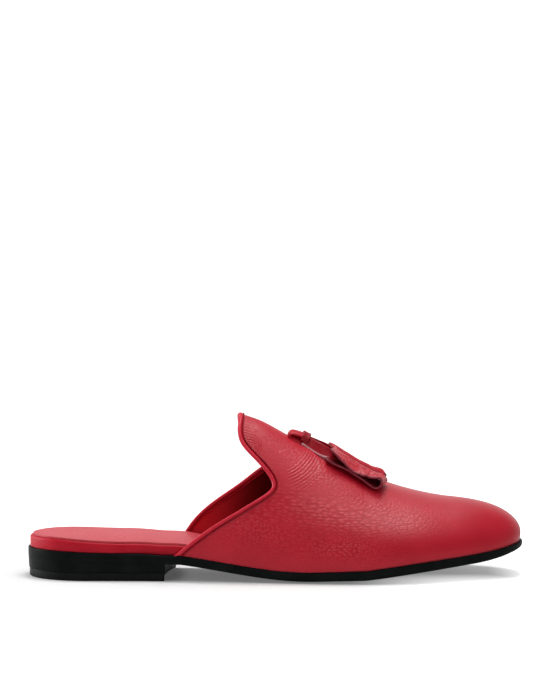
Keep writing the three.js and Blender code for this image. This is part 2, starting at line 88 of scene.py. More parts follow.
FILL_SHARES = np.array([0.0, 0.25, 0.5, 0.7, 0.86, 0.96])
SPINE_END, SPINE_SHARE = 32.0, 0.4  # the filled faces' spine stops so far inside, at most that share
WELD = 2e-6  # points nearer than this, in metres, are one
CREASE_ANGLE = math.radians(38)
MOTTLE_LOW, MOTTLE_HIGH = 0.3, 0.7  # part of the noise that is spread from 0 to 1
FINE_TIMES, FINE_LOW, FINE_HIGH = 12.0, 0.25, 0.75
INK_BLACK = (0.0035, 0.0046, 0.0043, 1)
INK_WORN = (0.0065, 0.0078, 0.0075, 1)
INK_CLOUD, INK_SMOOTH, INK_ROUGH = 14.0, 0.4, 0.5
LAYER_SIZE, LAYER_DEPTH, LAYER_STRETCH = 2.0, 0.03, (0.06, 0.06, 1.0)

SOLE_PLAN = np.array([  # x, centre line, half width before the ends are rounded
    (0, 0, 33.5),
    (40, 0, 33.5),
    (75, -1.2, 33),
    (105, -4, 32.5),
    (132, -6, 34),
    (160, -5.5, 39),
    (185, -2.6, 45),
    (207, 0.6, 49.2),
    (225, 2.6, 50),
    (245, 4, 48.6),
    (270, 4.5, 44.8),
    (298, 4.5, 40.5),
])


def spline(places, values):
    """Natural cubic spline: on each stretch the straight line between its ends, plus a cubic bow from
    each end, with the bends at the ends solved so that the slope runs on from one stretch to the next."""
    count = len(places)
    step = np.diff(places)
    inner = np.arange(1, count - 1)
    system = np.eye(count)
    system[inner, inner - 1] = step[:-1]
    system[inner, inner] = 2 * (step[:-1] + step[1:])
    system[inner, inner + 1] = step[1:]
    turns = np.zeros(count)
    turns[inner] = 6 * np.diff(np.diff(values) / step)
    bends = np.linalg.solve(system, turns)

    def curve(x):
        i = np.clip(np.searchsorted(places, x) - 1, 0, count - 2)
        b = (x - places[i]) / step[i]
        a = 1 - b
        bow = ((a**3 - a) * bends[i] + (b**3 - b) * bends[i + 1]) * step[i] ** 2 / 6
        return a * values[i] + b * values[i + 1] + bow

    return curve


def mix(a, b, t):
    """Straight blend from a, at t = 0, to b, at t = 1."""
    return a + (b - a) * t


def ramp(x, start, end):
    """S-shaped step, 0 at start and 1 at end, level at both: 3 t squared minus 2 t cubed."""
    t = np.clip((x - start) / (end - start), 0, 1)
    return t * t * (3 - 2 * t)


def round_end(u, power=2.0):
    """Share of the full width at a rounded end, from 1 at u = 0 to 0 at the tip, u = 1: the power-th root
    of one minus u squared, which is an ellipse for a power of 2."""
    return (1 - np.clip(u, 0, 1) ** 2) ** (1 / power)


centre_line = spline(SOLE_PLAN[:, 0], SOLE_PLAN[:, 1])
plan_half = spline(SOLE_PLAN[:, 0], SOLE_PLAN[:, 2])


def half_width(x, inset, heel_end, toe_end):
    """Half width of the plan drawn in by inset, times the rounding at the heel and at the toe."""
    heel = round_end((HEEL_ROUND_TO - x) / (HEEL_ROUND_TO - heel_end))
    toe = round_end((x - TOE_ROUND_FROM) / (toe_end - TOE_ROUND_FROM), TOE_ROUND_POWER)
    return (plan_half(x) - inset) * heel * toe


def tip_rise(x):
    """How far the sole thins from below: the square of the way to its tip."""
    return TIP_RISE * np.clip((x - TIP_FROM) / (SOLE_LENGTH - TIP_FROM), 0, 1) ** 2


def sole_bottom(x, y):
    """Underside: a slight dip along the heel, an S down to the tread, a power curve up at the toe with
    the tip's own rise, and a parabola up towards both edges outside the flat middle of the ball."""
    waist = SEAT_HEIGHT * ramp(x, TREAD_BACK, SEAT_FRONT)
    waist = waist - SEAT_DIP * ramp(x, DIP_FROM, DIP_FULL) * ramp(x, DIP_END, DIP_FADES)
    spring = TOE_SPRING * np.clip((x - TREAD_FRONT) / (SOLE_LENGTH - TREAD_FRONT), 0, 1) ** SPRING_POWER
    across = np.abs(y - centre_line(x)) / BALL_HALF_WIDTH
    cup = np.maximum((across - FLAT_SHARE) / (1 - FLAT_SHARE), 0) ** 2
    cupping = CROWN * np.clip((x - CUP_FROM) / (CUP_FULL - CUP_FROM), 0, 1) * cup
    return waist + spring + tip_rise(x) + cupping


def sole_top(x, y):
    """The underside lifted by the sole's thickness, less what it thins by."""
    return sole_bottom(x, y) + SOLE_THICKNESS - tip_rise(x)


def plan_ring(inset, heel_end, toe_end):
    """Closed loop round the plan: x swings from heel to toe and back as a cosine, and y lies a half width
    to the lateral side on the way out and to the medial side on the way back. inset may depend on x."""
    turn = np.arange(RING_COLUMNS) * (2 * np.pi / RING_COLUMNS)
    x = mix(heel_end, toe_end, (1 - np.cos(turn)) / 2)
    side = np.where(turn < np.pi, -1.0, 1.0)
    draw = inset(x) if callable(inset) else inset
    return x, centre_line(x) + side * half_width(x, draw, heel_end, toe_end)


def rounded_edge(lower, upper):
    """Profile of a plate's edge: a quarter circle of radius lower at the bottom, then one of radius upper
    at the top. Each row is an inset, with either its rise from the bottom or its drop from the top."""
    turn = np.linspace(0, np.pi / 2, EDGE_STEPS)
    foot = [(lower * (1 - math.sin(a)), lower * (1 - math.cos(a)), None) for a in turn]
    head = [(upper * (1 - math.cos(a)), None, upper * (1 - math.sin(a))) for a in turn]
    return foot + head


def plate(rings, low, high):
    """Closed plate. Its rows run from the spine of the underside out to the first ring, up the edge ring
    by ring, and in from the last ring to the spine of the top. Inside a ring each point is a share of the
    way from the nearest point of the spine, at the height that low or high gives there."""

    def fill(ring, level):
        x, y = ring[:, 0], ring[:, 1]
        reach = min(SPINE_END, SPINE_SHARE * np.ptp(x))
        spine_x = np.clip(x, x.min() + reach, x.max() - reach)
        share = FILL_SHARES[:, None]
        in_x = mix(spine_x, x, share)
        in_y = mix(centre_line(spine_x), y, share)
        return np.stack([in_x, in_y, level(in_x, in_y)], -1)

    edge = [np.stack(np.broadcast_arrays(*ring), -1) for ring in rings]
    return np.concatenate([fill(edge[0], low), edge, fill(edge[-1], high)[::-1]])


def rounding_left(x):
    """Share of the lower rounding: an S from little, along the heel, to all of it, ahead of the
    breast."""
    return mix(FLUSH_SHARE, 1, ramp(x, FLUSH_TO, FLUSH_FROM))


def outsole_rings():
    """Rings of the outsole's edge, each drawn in by the edge's profile. The lower rounding fades out
    behind the heel's breast, where sole and heel are trimmed in one."""
    rings = []
    for inset, rise, drop in rounded_edge(SOLE_LOWER_ROUND, SOLE_UPPER_ROUND):
        if drop is None:
            x, y = plan_ring(lambda x: inset * rounding_left(x), inset * FLUSH_SHARE, SOLE_LENGTH - inset)
            rings.append((x, y, sole_bottom(x, y) + rise * rounding_left(x)))
        else:
            x, y = plan_ring(inset, inset, SOLE_LENGTH - inset)
            rings.append((x, y, sole_top(x, y) - drop))
    return rings


def frame_origin():
    """Where the model's origin lies in shoe millimetres: the plan's own box is set on the packed
    outsole's."""
    low, high = (np.array(corner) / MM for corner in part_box("outsole"))
    x, y = plan_ring(0, 0, SOLE_LENGTH)
    return np.array([x.min() - low[0], (y.min() + y.max() - low[1] - high[1]) / 2, 0])


ORIGIN = frame_origin()


def grid_quads(rows, columns, wrap):
    """Corner numbers of the quads between neighbours on a grid, whose last column joins its first if
    wrap."""
    i = np.arange(rows - 1)[:, None] * columns
    j = np.arange(columns if wrap else columns - 1)[None, :]
    k = (j + 1) % columns
    return np.stack([i + j, i + k, i + columns + k, i + columns + j], -1).reshape(-1, 4)


def add_piece(name, surfaces, finishes, slot, *nodes):
    """One closed mesh from grids of points in shoe millimetres. A surface may wrap, names its finish by
    number, and carries marks: values at each point that a finish reads. Points that meet at seams and
    poles become one, and the shell is turned so that its volume is positive."""
    corners, quads, finish_numbers, marks, count = [], [], [], {}, 0
    for surface in surfaces:
        rows, columns = surface["points"].shape[:2]
        faces = grid_quads(rows, columns, surface.get("wrap", False)) + count
        corners.append(surface["points"].reshape(-1, 3))
        quads.append(faces)
        finish_numbers.append(np.full(len(faces), surface.get("finish", 0)))
        for mark, value in surface.get("marks", {}).items():
            marks.setdefault(mark, []).append(np.broadcast_to(value, (rows, columns)).ravel())
        count += rows * columns
    mesh = bpy.data.meshes.new(name)
    mesh.from_pydata((np.concatenate(corners) - ORIGIN) * MM, [], np.concatenate(quads))
    mesh.polygons.foreach_set("material_index", np.concatenate(finish_numbers).astype(np.int32))
    for mark, values in marks.items():
        layer = mesh.attributes.new(mark, "FLOAT", "POINT")
        layer.data.foreach_set("value", np.concatenate(values).astype(np.float32))
    for finish in finishes:
        mesh.materials.append(finish)
    shell = bmesh.new()
    shell.from_mesh(mesh)
    bmesh.ops.remove_doubles(shell, verts=shell.verts, dist=WELD)
    if shell.calc_volume(signed=True) < 0:
        bmesh.ops.reverse_faces(shell, faces=shell.faces)
    shell.to_mesh(mesh)
    shell.free()
    mesh.shade_smooth()
    mesh.set_sharp_from_angle(angle=CREASE_ANGLE)
    piece = bpy.data.objects.new(name, mesh)
    bpy.context.scene.collection.objects.link(piece)
    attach(piece, BODY)
    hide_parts(*nodes)
    return piece


def add_node(tree, kind, inputs=None, **settings):
    """Shader node of a kind. settings are its own properties, and inputs gives sockets a value or a
    link."""
    node = tree.nodes.new("ShaderNode" + kind)
    for name, value in settings.items():
        setattr(node, name, value)
    for socket, value in (inputs or {}).items():
        if isinstance(value, bpy.types.NodeSocket):
            tree.links.new(value, node.inputs[socket])
        else:
            node.inputs[socket].default_value = value
    return node


def calculate(tree, operation, a, b):
    """Result of one arithmetic node."""
    return add_node(tree, "Math", {0: a, 1: b}, operation=operation).outputs[0]


def rescale(tree, value, low, high, to_low=0.0, to_high=1.0):
    """Value between low and high carried to between to_low and to_high, with a soft start and end."""
    ends = {"Value": value, "From Min": low, "From Max": high, "To Min": to_low, "To Max": to_high}
    return add_node(tree, "MapRange", ends, interpolation_type="SMOOTHSTEP").outputs[0]


def tint(tree, factor, a, b):
    """Colour a where factor is 0 and b where it is 1."""
    return add_node(tree, "Mix", {0: factor, 6: a, 7: b}, data_type="RGBA").outputs[2]


def millimetres(tree, stretch=(1.0, 1.0, 1.0)):
    """Object coordinates in millimetres, drawn out where a stretch is below 1."""
    place = add_node(tree, "TexCoord").outputs["Object"]
    scale = [s / MM for s in stretch]
    return add_node(tree, "Mapping", {"Vector": place, "Scale": scale}).outputs[0]


def new_finish(name, **constants):
    """Material with a Principled shader, whose plain values are set on its own sockets."""
    finish = bpy.data.materials.new(name)
    finish.use_nodes = True
    shader = finish.node_tree.nodes["Principled BSDF"]
    for socket, value in constants.items():
        shader.inputs[socket.replace("_", " ")].default_value = value
    return finish, finish.node_tree, shader


def new_group(name, inputs, outputs):
    """Empty shader group with named sockets; returns it with its input and output nodes."""
    tree = bpy.data.node_groups.new(name, "ShaderNodeTree")
    for in_out, sockets in (("INPUT", inputs), ("OUTPUT", outputs)):
        for socket, kind in sockets.items():
            tree.interface.new_socket(socket, in_out=in_out, socket_type="NodeSocket" + kind)
    return tree, tree.nodes.new("NodeGroupInput"), tree.nodes.new("NodeGroupOutput")


def use_group(tree, group, inputs):
    """The group placed in a material, with its own values."""
    return add_node(tree, "Group", inputs, node_tree=group)


def bump(tree, shader, height, depth):
    """Height from 0 to 1 laid on the surface as relief of a depth in millimetres."""
    relief = add_node(tree, "Bump", {"Strength": 1.0, "Distance": depth * MM, "Height": height})
    tree.links.new(relief.outputs[0], shader.inputs["Normal"])


def mottle_group():
    """Cloudy unevenness: broad noise with a finer one over it, as dye or ink lies on a hide. Tone is its
    value, and Fine is noise of a twelfth of the size."""
    tree, given, made = new_group(
        "mottle", {"Vector": "Vector", "Size": "Float"}, {"Tone": "Float", "Fine": "Float"}
    )
    where = given.outputs["Vector"]
    scale = calculate(tree, "DIVIDE", 1.0, given.outputs["Size"])
    fine_scale = calculate(tree, "MULTIPLY", scale, FINE_TIMES)
    broad = add_node(tree, "TexNoise", {"Vector": where, "Scale": scale, "Detail": 3.0})
    fine = add_node(tree, "TexNoise", {"Vector": where, "Scale": fine_scale, "Detail": 2.0})
    tree.links.new(rescale(tree, broad.outputs[0], MOTTLE_LOW, MOTTLE_HIGH), made.inputs["Tone"])
    tree.links.new(rescale(tree, fine.outputs[0], FINE_LOW, FINE_HIGH), made.inputs["Fine"])
    return tree


MOTTLE = mottle_group()


def black_edge_finish():
    """Inked edge: black with slightly browned clouds, polished unevenly, with the hide's layers as faint
    lines along the edge."""
    finish, tree, shader = new_finish("inked edge", IOR=1.45, Specular_IOR_Level=0.04)
    cloud = use_group(tree, MOTTLE, {"Vector": millimetres(tree), "Size": INK_CLOUD})
    layers = use_group(tree, MOTTLE, {"Vector": millimetres(tree, LAYER_STRETCH), "Size": LAYER_SIZE})
    colour = tint(tree, cloud.outputs["Tone"], INK_BLACK, INK_WORN)
    tree.links.new(colour, shader.inputs["Base Color"])
    polish = rescale(tree, cloud.outputs["Fine"], 0, 1, INK_SMOOTH, INK_ROUGH)
    tree.links.new(polish, shader.inputs["Roughness"])
    bump(tree, shader, layers.outputs["Tone"], LAYER_DEPTH)
    return finish


INKED_EDGE = black_edge_finish()
outsole_skin = {"points": plate(outsole_rings(), sole_bottom, sole_top), "wrap": True}
add_piece("sole_leather", [outsole_skin], [INKED_EDGE], "black_edge", "outsole")


# Heel stack
# A low block of leather lifts under the seat, trimmed and inked in one with the outsole. Its front face,
# the breast, is hollowed by a large round, and stands further forward on the medial side.
TOP_LIFT = 5.0  # height of the rubber layer below
LIFT_GAP = 0.14  # glue line between the lift and the stack
HEEL_BREAST = 84.0
BREAST_RADIUS, BREAST_SKEW, BREAST_HOLLOW = 190.0, 0.09, 3.0
HEEL_COLUMNS, BREAST_COLUMNS, BREAST_SEARCH = 160, 48, 6
STACK_FOOT_INSET, STACK_HEAD_INSET, STACK_ROUND = 0.5, 0.1, 0.25


def breast(y):
    """Front face of the heel: x on a circle whose middle lies ahead of the shoe, turned by the skew."""
    reach = BREAST_RADIUS - BREAST_HOLLOW
    middle_x = HEEL_BREAST + BREAST_HOLLOW + reach * math.cos(BREAST_SKEW)
    middle_y = -reach * math.sin(BREAST_SKEW)
    return middle_x - np.sqrt(BREAST_RADIUS**2 - (y - middle_y) ** 2)


def heel_ring(inset):
    """Closed loop round the heel: from the medial corner of the breast back along the plan, round the
    heel to the lateral corner, and across the breast. The corners are found by stepping to and fro
    between plan and breast."""
    sides = np.array([-1.0, 1.0])
    corners = np.full(2, HEEL_BREAST)
    for _ in range(BREAST_SEARCH):
        edge = centre_line(corners) + sides * half_width(corners, inset, inset, SOLE_LENGTH)
        corners = breast(edge) - inset
    swing = np.linspace(1, -1, HEEL_COLUMNS)
    x = mix(inset, np.where(swing < 0, corners[0], corners[1]), 1 - np.cos(swing * np.pi / 2))
    y = centre_line(x) + np.sign(swing) * half_width(x, inset, inset, SOLE_LENGTH)
    across = np.linspace(y[-1], y[0], BREAST_COLUMNS)[1:-1]
    return np.append(x, breast(across) - inset), np.append(y, across)


def heel_layer(foot_inset, head_inset, low, high, lower_round, upper_round):
    """Plate between the levels low and high, drawn in a little more at its foot than at its head."""
    rings = []
    for inset, rise, drop in rounded_edge(lower_round, upper_round):
        side = foot_inset if drop is None else head_inset
        x, y = heel_ring(side + inset)
        level = low(x, y) + rise if drop is None else high(x, y) - drop
        rings.append((x, y, level))
    return {"points": plate(rings, low, high), "wrap": True}


heel_stack_skin = heel_layer(
    STACK_FOOT_INSET,
    STACK_HEAD_INSET,
    lambda x, y: np.full_like(x, TOP_LIFT + LIFT_GAP),
    sole_bottom,
    STACK_ROUND,
    STACK_ROUND / 4,
)
add_piece("heel_block", [heel_stack_skin], [INKED_EDGE], "black_edge", "heel_stack")


# Top lift
# The rubber layer that meets the floor, moulded, glued and pinned under the stack, a hair inside its
# edge. Its tread corner is rounded off.
LIFT_FOOT_INSET, LIFT_HEAD_INSET = 0.85, 0.8
LIFT_TREAD_ROUND, LIFT_HEAD_ROUND = 0.9, 0.2
RUBBER_BLACK = (0.003, 0.0035, 0.0034, 1)
RUBBER_DUSTY = (0.006, 0.0066, 0.0064, 1)
RUBBER_CLOUD, RUBBER_SMOOTH, RUBBER_ROUGH = 9.0, 0.52, 0.68
STIPPLE_DEPTH = 0.05


def rubber_finish():
    """Moulded rubber: matt black with a dusty bloom and a fine stipple."""
    finish, tree, shader = new_finish("moulded rubber", IOR=1.45, Specular_IOR_Level=0.12)
    cloud = use_group(tree, MOTTLE, {"Vector": millimetres(tree), "Size": RUBBER_CLOUD})
    colour = tint(tree, cloud.outputs["Tone"], RUBBER_BLACK, RUBBER_DUSTY)
    tree.links.new(colour, shader.inputs["Base Color"])
    bloom = rescale(tree, cloud.outputs["Tone"], 0, 1, RUBBER_SMOOTH, RUBBER_ROUGH)
    tree.links.new(bloom, shader.inputs["Roughness"])
    bump(tree, shader, cloud.outputs["Fine"], STIPPLE_DEPTH)
    return finish


top_lift_skin = heel_layer(
    LIFT_FOOT_INSET,
    LIFT_HEAD_INSET,
    lambda x, y: np.zeros_like(x),
    lambda x, y: np.full_like(x, TOP_LIFT),
    LIFT_TREAD_ROUND,
    LIFT_HEAD_ROUND,
)
add_piece("top_lift_rubber", [top_lift_skin], [rubber_finish()], "black_rubber", "heel_top_lift")


# Insole
# A board wrapped in the upper's red leather. The wrapped band shows all round the open heel and steps in
# behind the wings of the upper, which is lasted round it.
SEAM_GAP = 0.05  # between pieces that are glued
INSOLE_THICKNESS, INSOLE_FOREFOOT = 6.6, 3.6
INSOLE_THINS_FROM, INSOLE_THINS_TO = 90.0, 170.0
INSOLE_HEEL_INSET, INSOLE_INNER_INSET, INSOLE_TOE_INSET = 1.2, 3.4, 4.2
INSOLE_STEP_FROM, INSOLE_STEP_TO = 50.0, 82.0
BAND_LOWER_ROUND, BAND_UPPER_ROUND = 0.5, 1.1
CUP_GAP = 0.3
BANK = 1.4  # drop of the bed's lateral side
BANK_FROM, BANK_FULL, BANK_FADES, BANK_END = 10.0, 60.0, 95.0, 135.0
RED_DEEP = (0.25, 0.002, 0.008, 1)
RED_MID = (0.405, 0.004, 0.0165, 1)
RED_LIGHT = (0.445, 0.006, 0.020, 1)
CLOUD_SIZE, PORE_SIZE = 11.0, 0.55
PORE_RIM, PORE_FLAT = 0.1, 0.5  # from a cell's middle, in cells
PORE_DYE, PORE_DYE_TO = 0.25, 0.3  # most of the deep dye, and the height above which there is none


def insole_inset(x):
    """Inset of the insole's edge: small round the heel, then an S to the inside of the upper's wall."""
    return mix(INSOLE_HEEL_INSET, INSOLE_INNER_INSET, ramp(x, INSOLE_STEP_FROM, INSOLE_STEP_TO))


def insole_bottom(x, y):
    """The outsole's top, and a glue line."""
    return sole_top(x, y) + SEAM_GAP


def insole_top(x, y):
    """The insole's bed: the outsole's top lifted by the board, which thins in an S towards the forefoot,
    and is banked along the heel: its lateral side drops as the square of the way from the centre line."""
    thins = ramp(x, INSOLE_THINS_FROM, INSOLE_THINS_TO)
    lateral = np.minimum(y - centre_line(x), 0) / plan_half(x)
    bank = BANK * lateral**2 * ramp(x, BANK_FROM, BANK_FULL) * ramp(x, BANK_END, BANK_FADES)
    return sole_top(x, y) + CUP_GAP + mix(INSOLE_THICKNESS, INSOLE_FOREFOOT, thins) - bank


def insole_plate(draw, low, high, lower_round, upper_round):
    """Plate with the insole's outline drawn in further by draw, between the levels low and high."""
    rings = []
    for inset, rise, drop in rounded_edge(lower_round, upper_round):
        inside = draw + inset
        heel_end = INSOLE_HEEL_INSET + inside
        toe_end = SOLE_LENGTH - INSOLE_TOE_INSET - inside
        x, y = plan_ring(lambda x: insole_inset(x) + inside, heel_end, toe_end)
        rings.append((x, y, low(x, y) + rise if drop is None else high(x, y) - drop))
    return {"points": plate(rings, low, high), "wrap": True}


def pore_group():
    """Hide's pores: small round dimples, the near parts of Voronoi cells, softened by noise. Height is 0
    in a dimple and 1 between them."""
    tree, given, made = new_group("pores", {"Vector": "Vector", "Size": "Float"}, {"Height": "Float"})
    where = given.outputs["Vector"]
    scale = calculate(tree, "DIVIDE", 1.0, given.outputs["Size"])
    cells = add_node(tree, "TexVoronoi", {"Vector": where, "Scale": scale})
    grain = add_node(tree, "TexNoise", {"Vector": where, "Scale": scale, "Detail": 3.0})
    dimple = rescale(tree, cells.outputs["Distance"], PORE_RIM, PORE_FLAT)
    tree.links.new(calculate(tree, "MULTIPLY", dimple, grain.outputs[0]), made.inputs["Height"])
    return tree


PORES = pore_group()


def smooth_leather_finish(name, deep, mid, light, roughness, pore_depth, gloss=0.25):
    """Smooth dyed leather: red between a middle and a light tone in soft clouds, deeper in its fine
    pores, and satin."""
    finish, tree, shader = new_finish(name, IOR=1.46, Specular_IOR_Level=gloss)
    place = millimetres(tree)
    cloud = use_group(tree, MOTTLE, {"Vector": place, "Size": CLOUD_SIZE})
    pores = use_group(tree, PORES, {"Vector": place, "Size": PORE_SIZE})
    colour = tint(tree, cloud.outputs["Tone"], mid, light)
    colour = tint(tree, rescale(tree, pores.outputs["Height"], 0, PORE_DYE_TO, PORE_DYE, 0), colour, deep)
    tree.links.new(colour, shader.inputs["Base Color"])
    satin = rescale(tree, cloud.outputs["Fine"], 0, 1, *roughness)
    tree.links.new(satin, shader.inputs["Roughness"])
    bump(tree, shader, pores.outputs["Height"], pore_depth)
    return finish


BAND_LEATHER = smooth_leather_finish(
    "wrapped band leather", RED_DEEP, RED_MID, RED_LIGHT, roughness=(0.4, 0.52), pore_depth=0.05, gloss=0.14
)
insole_skin = insole_plate(0, insole_bottom, insole_top, BAND_LOWER_ROUND, BAND_UPPER_ROUND)
add_piece("insole_wrapped", [insole_skin], [BAND_LEATHER], "red_smooth", "insole")


# Sock lining
# A thin sheet of lighter red leather, cut a little smaller than the insole and glued on its bed. Its cut
# edge shows as a pale line round the heel.
SOCK_DRAW, SOCK_THICKNESS = 1.7, 1.0
SOCK_ROUND = 0.4
SOCK_DEEP = (0.37, 0.022, 0.036, 1)
SOCK_MID = (0.455, 0.042, 0.057, 1)
SOCK_LIGHT = (0.48, 0.048, 0.064, 1)


def sock_bottom(x, y):
    """The insole's bed and a glue line."""
    return insole_top(x, y) + SEAM_GAP


def sock_top(x, y):
    """The bed lifted by the sheet."""
    return insole_top(x, y) + CUP_GAP + SOCK_THICKNESS


SOCK_LEATHER = smooth_leather_finish(
    "sock leather", SOCK_DEEP, SOCK_MID, SOCK_LIGHT, roughness=(0.42, 0.55), pore_depth=0.04
)
sock_skin = insole_plate(SOCK_DRAW, sock_bottom, sock_top, SOCK_ROUND / 2, SOCK_ROUND)
add_piece("sock_sheet", [sock_skin], [SOCK_LEATHER], "red_sock", "sock_lining")


# Upper
# The vamp, its wings and the raised tongue in one piece of pebbled calf, lined, and moulded on the last:
# a wall of two millimetres, open at the back and underneath. Its edges are turned in at the topline and
# at the sole.
WALL = 2.0
UPPER_INSET, TOE_LEDGE, TOE_OVERHANG = 0.8, 1.6, 1.2
UPPER_GAP = 0.3
TOE_DROP_FROM, TOE_DROP_POWER = 256.0, 2.4
LEAN_FROM, LEAN_HEIGHT, LEAN_POWER = 240.0, 18.0, 4
UPPER_ROWS, UPPER_COLUMNS = 208, 221
EDGE_ROLL = 0.9  # radius of the turned edge along the topline
ROLL_FADES, ROLL_ENDS = 270.0, 292.0  # towards the toe it runs out
# Painted highlight on the pebbles' crowns
RED_CROWN_HIGHLIGHT = (0.68, 0.06, 0.08, 1)
# Painted shade in the grooves beside the piping and the sole
SEAM_PAINTED_SHADE = (0.23, 0.003, 0.010, 1)
LINING_DEEP = (0.28, 0.003, 0.006, 1)
# Lining reds, lightened as painted light for the lining near the heel end
LINING_LIT_MID = (0.62, 0.020, 0.030, 1)
LINING_LIT_LIGHT = (0.68, 0.024, 0.036, 1)
# Painted shade that darkens the lining deeper inside the shoe, and where along the shoe it starts and is
# full
LINING_PAINTED_SHADE = (0.10, 0.0005, 0.001, 1)
LINING_LIT_TO, LINING_SHADED_FROM = 98.0, 147.0

LAST = np.array([  # x, ridge height, ridge across, rise of the side, belly, breadth of the crown
    (84, 108, 0, 0.42, 1, 0.5),
    (128, 87.2, 0, 0.42, 3, 0.5),
    (140, 84.6, 0.2, 0.42, 3.5, 0.5),
    (152, 79.4, 0.5, 0.42, 4, 0.5),
    (185, 62.6, 2, 0.42, 4.5, 0.55),
    (218, 44.8, 3.5, 0.45, 4, 0.58),
    (236, 37.2, 4.2, 0.48, 3.5, 0.6),
    (255, 31.8, 4.5, 0.5, 3, 0.6),
    (279, 28.8, 4.5, 0.54, 2, 0.58),
    (298, 28, 4.5, 0.56, 1, 0.56),
])
TOPLINE = np.array([  # girth from feather edge to ridge, x of the edge on the lateral and the medial side
    (0, 93.4, 92.6),
    (0.11, 107.6, 101),
    (0.243, 126, 115.6),
    (0.36, 142, 129.6),
    (0.43, 148.6, 137),
    (0.48, 149.8, 142),
    (0.52, 148, 145.4),
    (0.6, 138.6, 141.5),
    (0.66, 131.8, 133.6),
    (0.72, 129.4, 130.2),
    (0.85, 129.6, 128.9),
    (0.94, 129.9, 128.9),
    (1, 130, 130),
])
last_height, last_ridge, last_rise, last_belly, last_crown = (spline(LAST[:, 0], c) for c in LAST[:, 1:].T)
topline_lateral, topline_medial = (spline(TOPLINE[:, 0], c) for c in TOPLINE[:, 1:].T)


def rib(x, girth, side, depth=0.0):
    """Point of the upper: at each x a cubic Bezier from the feather edge, girth 0, to the ridge, girth 1,
    whose two inner corners set the side's belly and the crown's breadth. The height sinks to nothing
    round the toe, where the wall also leans forward in half a sine. depth counts inwards from the outer
    face."""
    toe_end = SOLE_LENGTH - TOE_LEDGE - depth
    foot = centre_line(x) + side * half_width(x, UPPER_INSET + depth, 0.0, toe_end)
    floor = sole_top(x, foot) + UPPER_GAP
    drop = round_end((x - TOE_DROP_FROM) / (toe_end - TOE_DROP_FROM), TOE_DROP_POWER)
    top = floor + (last_height(x) - depth) * drop
    belly = last_belly(x) * round_end((x - TOE_ROUND_FROM) / (toe_end - TOE_ROUND_FROM))
    ridge = last_ridge(x)
    back = 1 - girth
    weights = back**3, 3 * girth * back**2, 3 * girth**2 * back, girth**3
    across = foot, foot + side * belly, mix(ridge, foot, last_crown(x)), ridge
    up = floor, mix(floor, top, last_rise(x)), top, top
    y = sum(w * c for w, c in zip(weights, across))
    z = sum(w * c for w, c in zip(weights, up))
    lean = TOE_OVERHANG * np.clip((x - LEAN_FROM) / (toe_end - LEAN_FROM), 0, 1) ** LEAN_POWER
    swell = np.sin(np.pi * np.clip((z - floor) / LEAN_HEIGHT, 0, 1))
    return np.stack(np.broadcast_arrays(x + lean * swell, y, z), -1)


def topline(girth, side):
    """x of the upper's edge at a girth, on the lateral or the medial side."""
    return np.where(side < 0, topline_lateral(girth), topline_medial(girth))


def unit(vectors):
    """Vectors shortened to length 1."""
    return vectors / np.maximum(np.linalg.norm(vectors, axis=-1, keepdims=True), 1e-12)


lap = np.linspace(-1, 1, UPPER_COLUMNS)  # lateral feather edge, ridge, medial feather edge
upper_side = np.where(lap < 0, -1.0, 1.0)
upper_girth = 1 - np.abs(lap)


def upper_grid(depth):
    """Grid of the wall at a depth: rows run from the topline to the toe, crowded at both, and columns
    over the shoe from the lateral to the medial feather edge."""
    share = (1 - np.cos(np.linspace(0, np.pi, UPPER_ROWS)))[:, None] / 2
    x = mix(topline(upper_girth, upper_side), SOLE_LENGTH - TOE_LEDGE - depth, share)
    return x, rib(x, upper_girth, upper_side, depth)


def edge_distance(grid):
    """How far each point lies from the topline: its way along the row direction, times the part of that
    direction which is square to the edge."""
    along = unit(np.gradient(grid[0], axis=0))
    ahead = grid - grid[0]
    return np.linalg.norm(ahead - (ahead * along).sum(-1, keepdims=True) * along, axis=-1)


def roll(distance, radius):
    """Drop of a turned edge: a quarter circle of the radius, deepest at the edge itself."""
    u = 1 - np.clip(distance / radius, 0, 1)
    return radius * (1 - np.sqrt(1 - u * u))


def outward(grid):
    """Normals of a grid, away from the foot: columns' direction crossed with rows' direction."""
    return unit(np.cross(np.gradient(grid, axis=1), np.gradient(grid, axis=0)))


outer_x, outer_grid = upper_grid(0.0)
inner_x, inner_grid = upper_grid(WALL)
outer_normal = outward(outer_grid)
inner_normal = outward(inner_grid)
outer_edge = edge_distance(outer_grid)
edge_roll = roll(outer_edge, EDGE_ROLL), roll(edge_distance(inner_grid), EDGE_ROLL)
outer_roll, inner_roll = (drop * ramp(outer_x, ROLL_ENDS, ROLL_FADES) for drop in edge_roll)

# Main creases of the vamp, alike on both sides: a raised line on the tongue, and two troughs that run
# down from where the straps meet the tassels
CREASES = np.array([  # from x and girth, to x and girth, height, half width
    (138, 0.77, 151, 0.71, 0.25, 1.4),
    (174.2, 0.81, 176.6, 0.685, -0.3, 1.0),
    (177.2, 0.81, 179, 0.7, -0.3, 1.0),
])


def from_place(x, girth):
    """Way of each point from a place on the upper, that on its own side of the shoe."""
    return outer_grid - np.where(upper_side[:, None] < 0, rib(x, girth, -1.0), rib(x, girth, 1.0))


def crease_height():
    """Sum of the creases: each is a bell of the distance from the straight line between its two ends."""
    height = np.zeros(outer_grid.shape[:2])
    for x, girth, to_x, to_girth, rise, half in CREASES:
        from_start = from_place(x, girth)
        line = from_start - from_place(to_x, to_girth)
        share = (from_start * line).sum(-1) / (line * line).sum(-1)
        away = from_start - np.clip(share, 0, 1)[..., None] * line
        height += rise * np.exp(-(away * away).sum(-1) / half**2)
    return height


outer_skin = outer_grid - outer_normal * (outer_roll - crease_height())[..., None]
inner_skin = inner_grid + inner_normal * inner_roll[..., None]

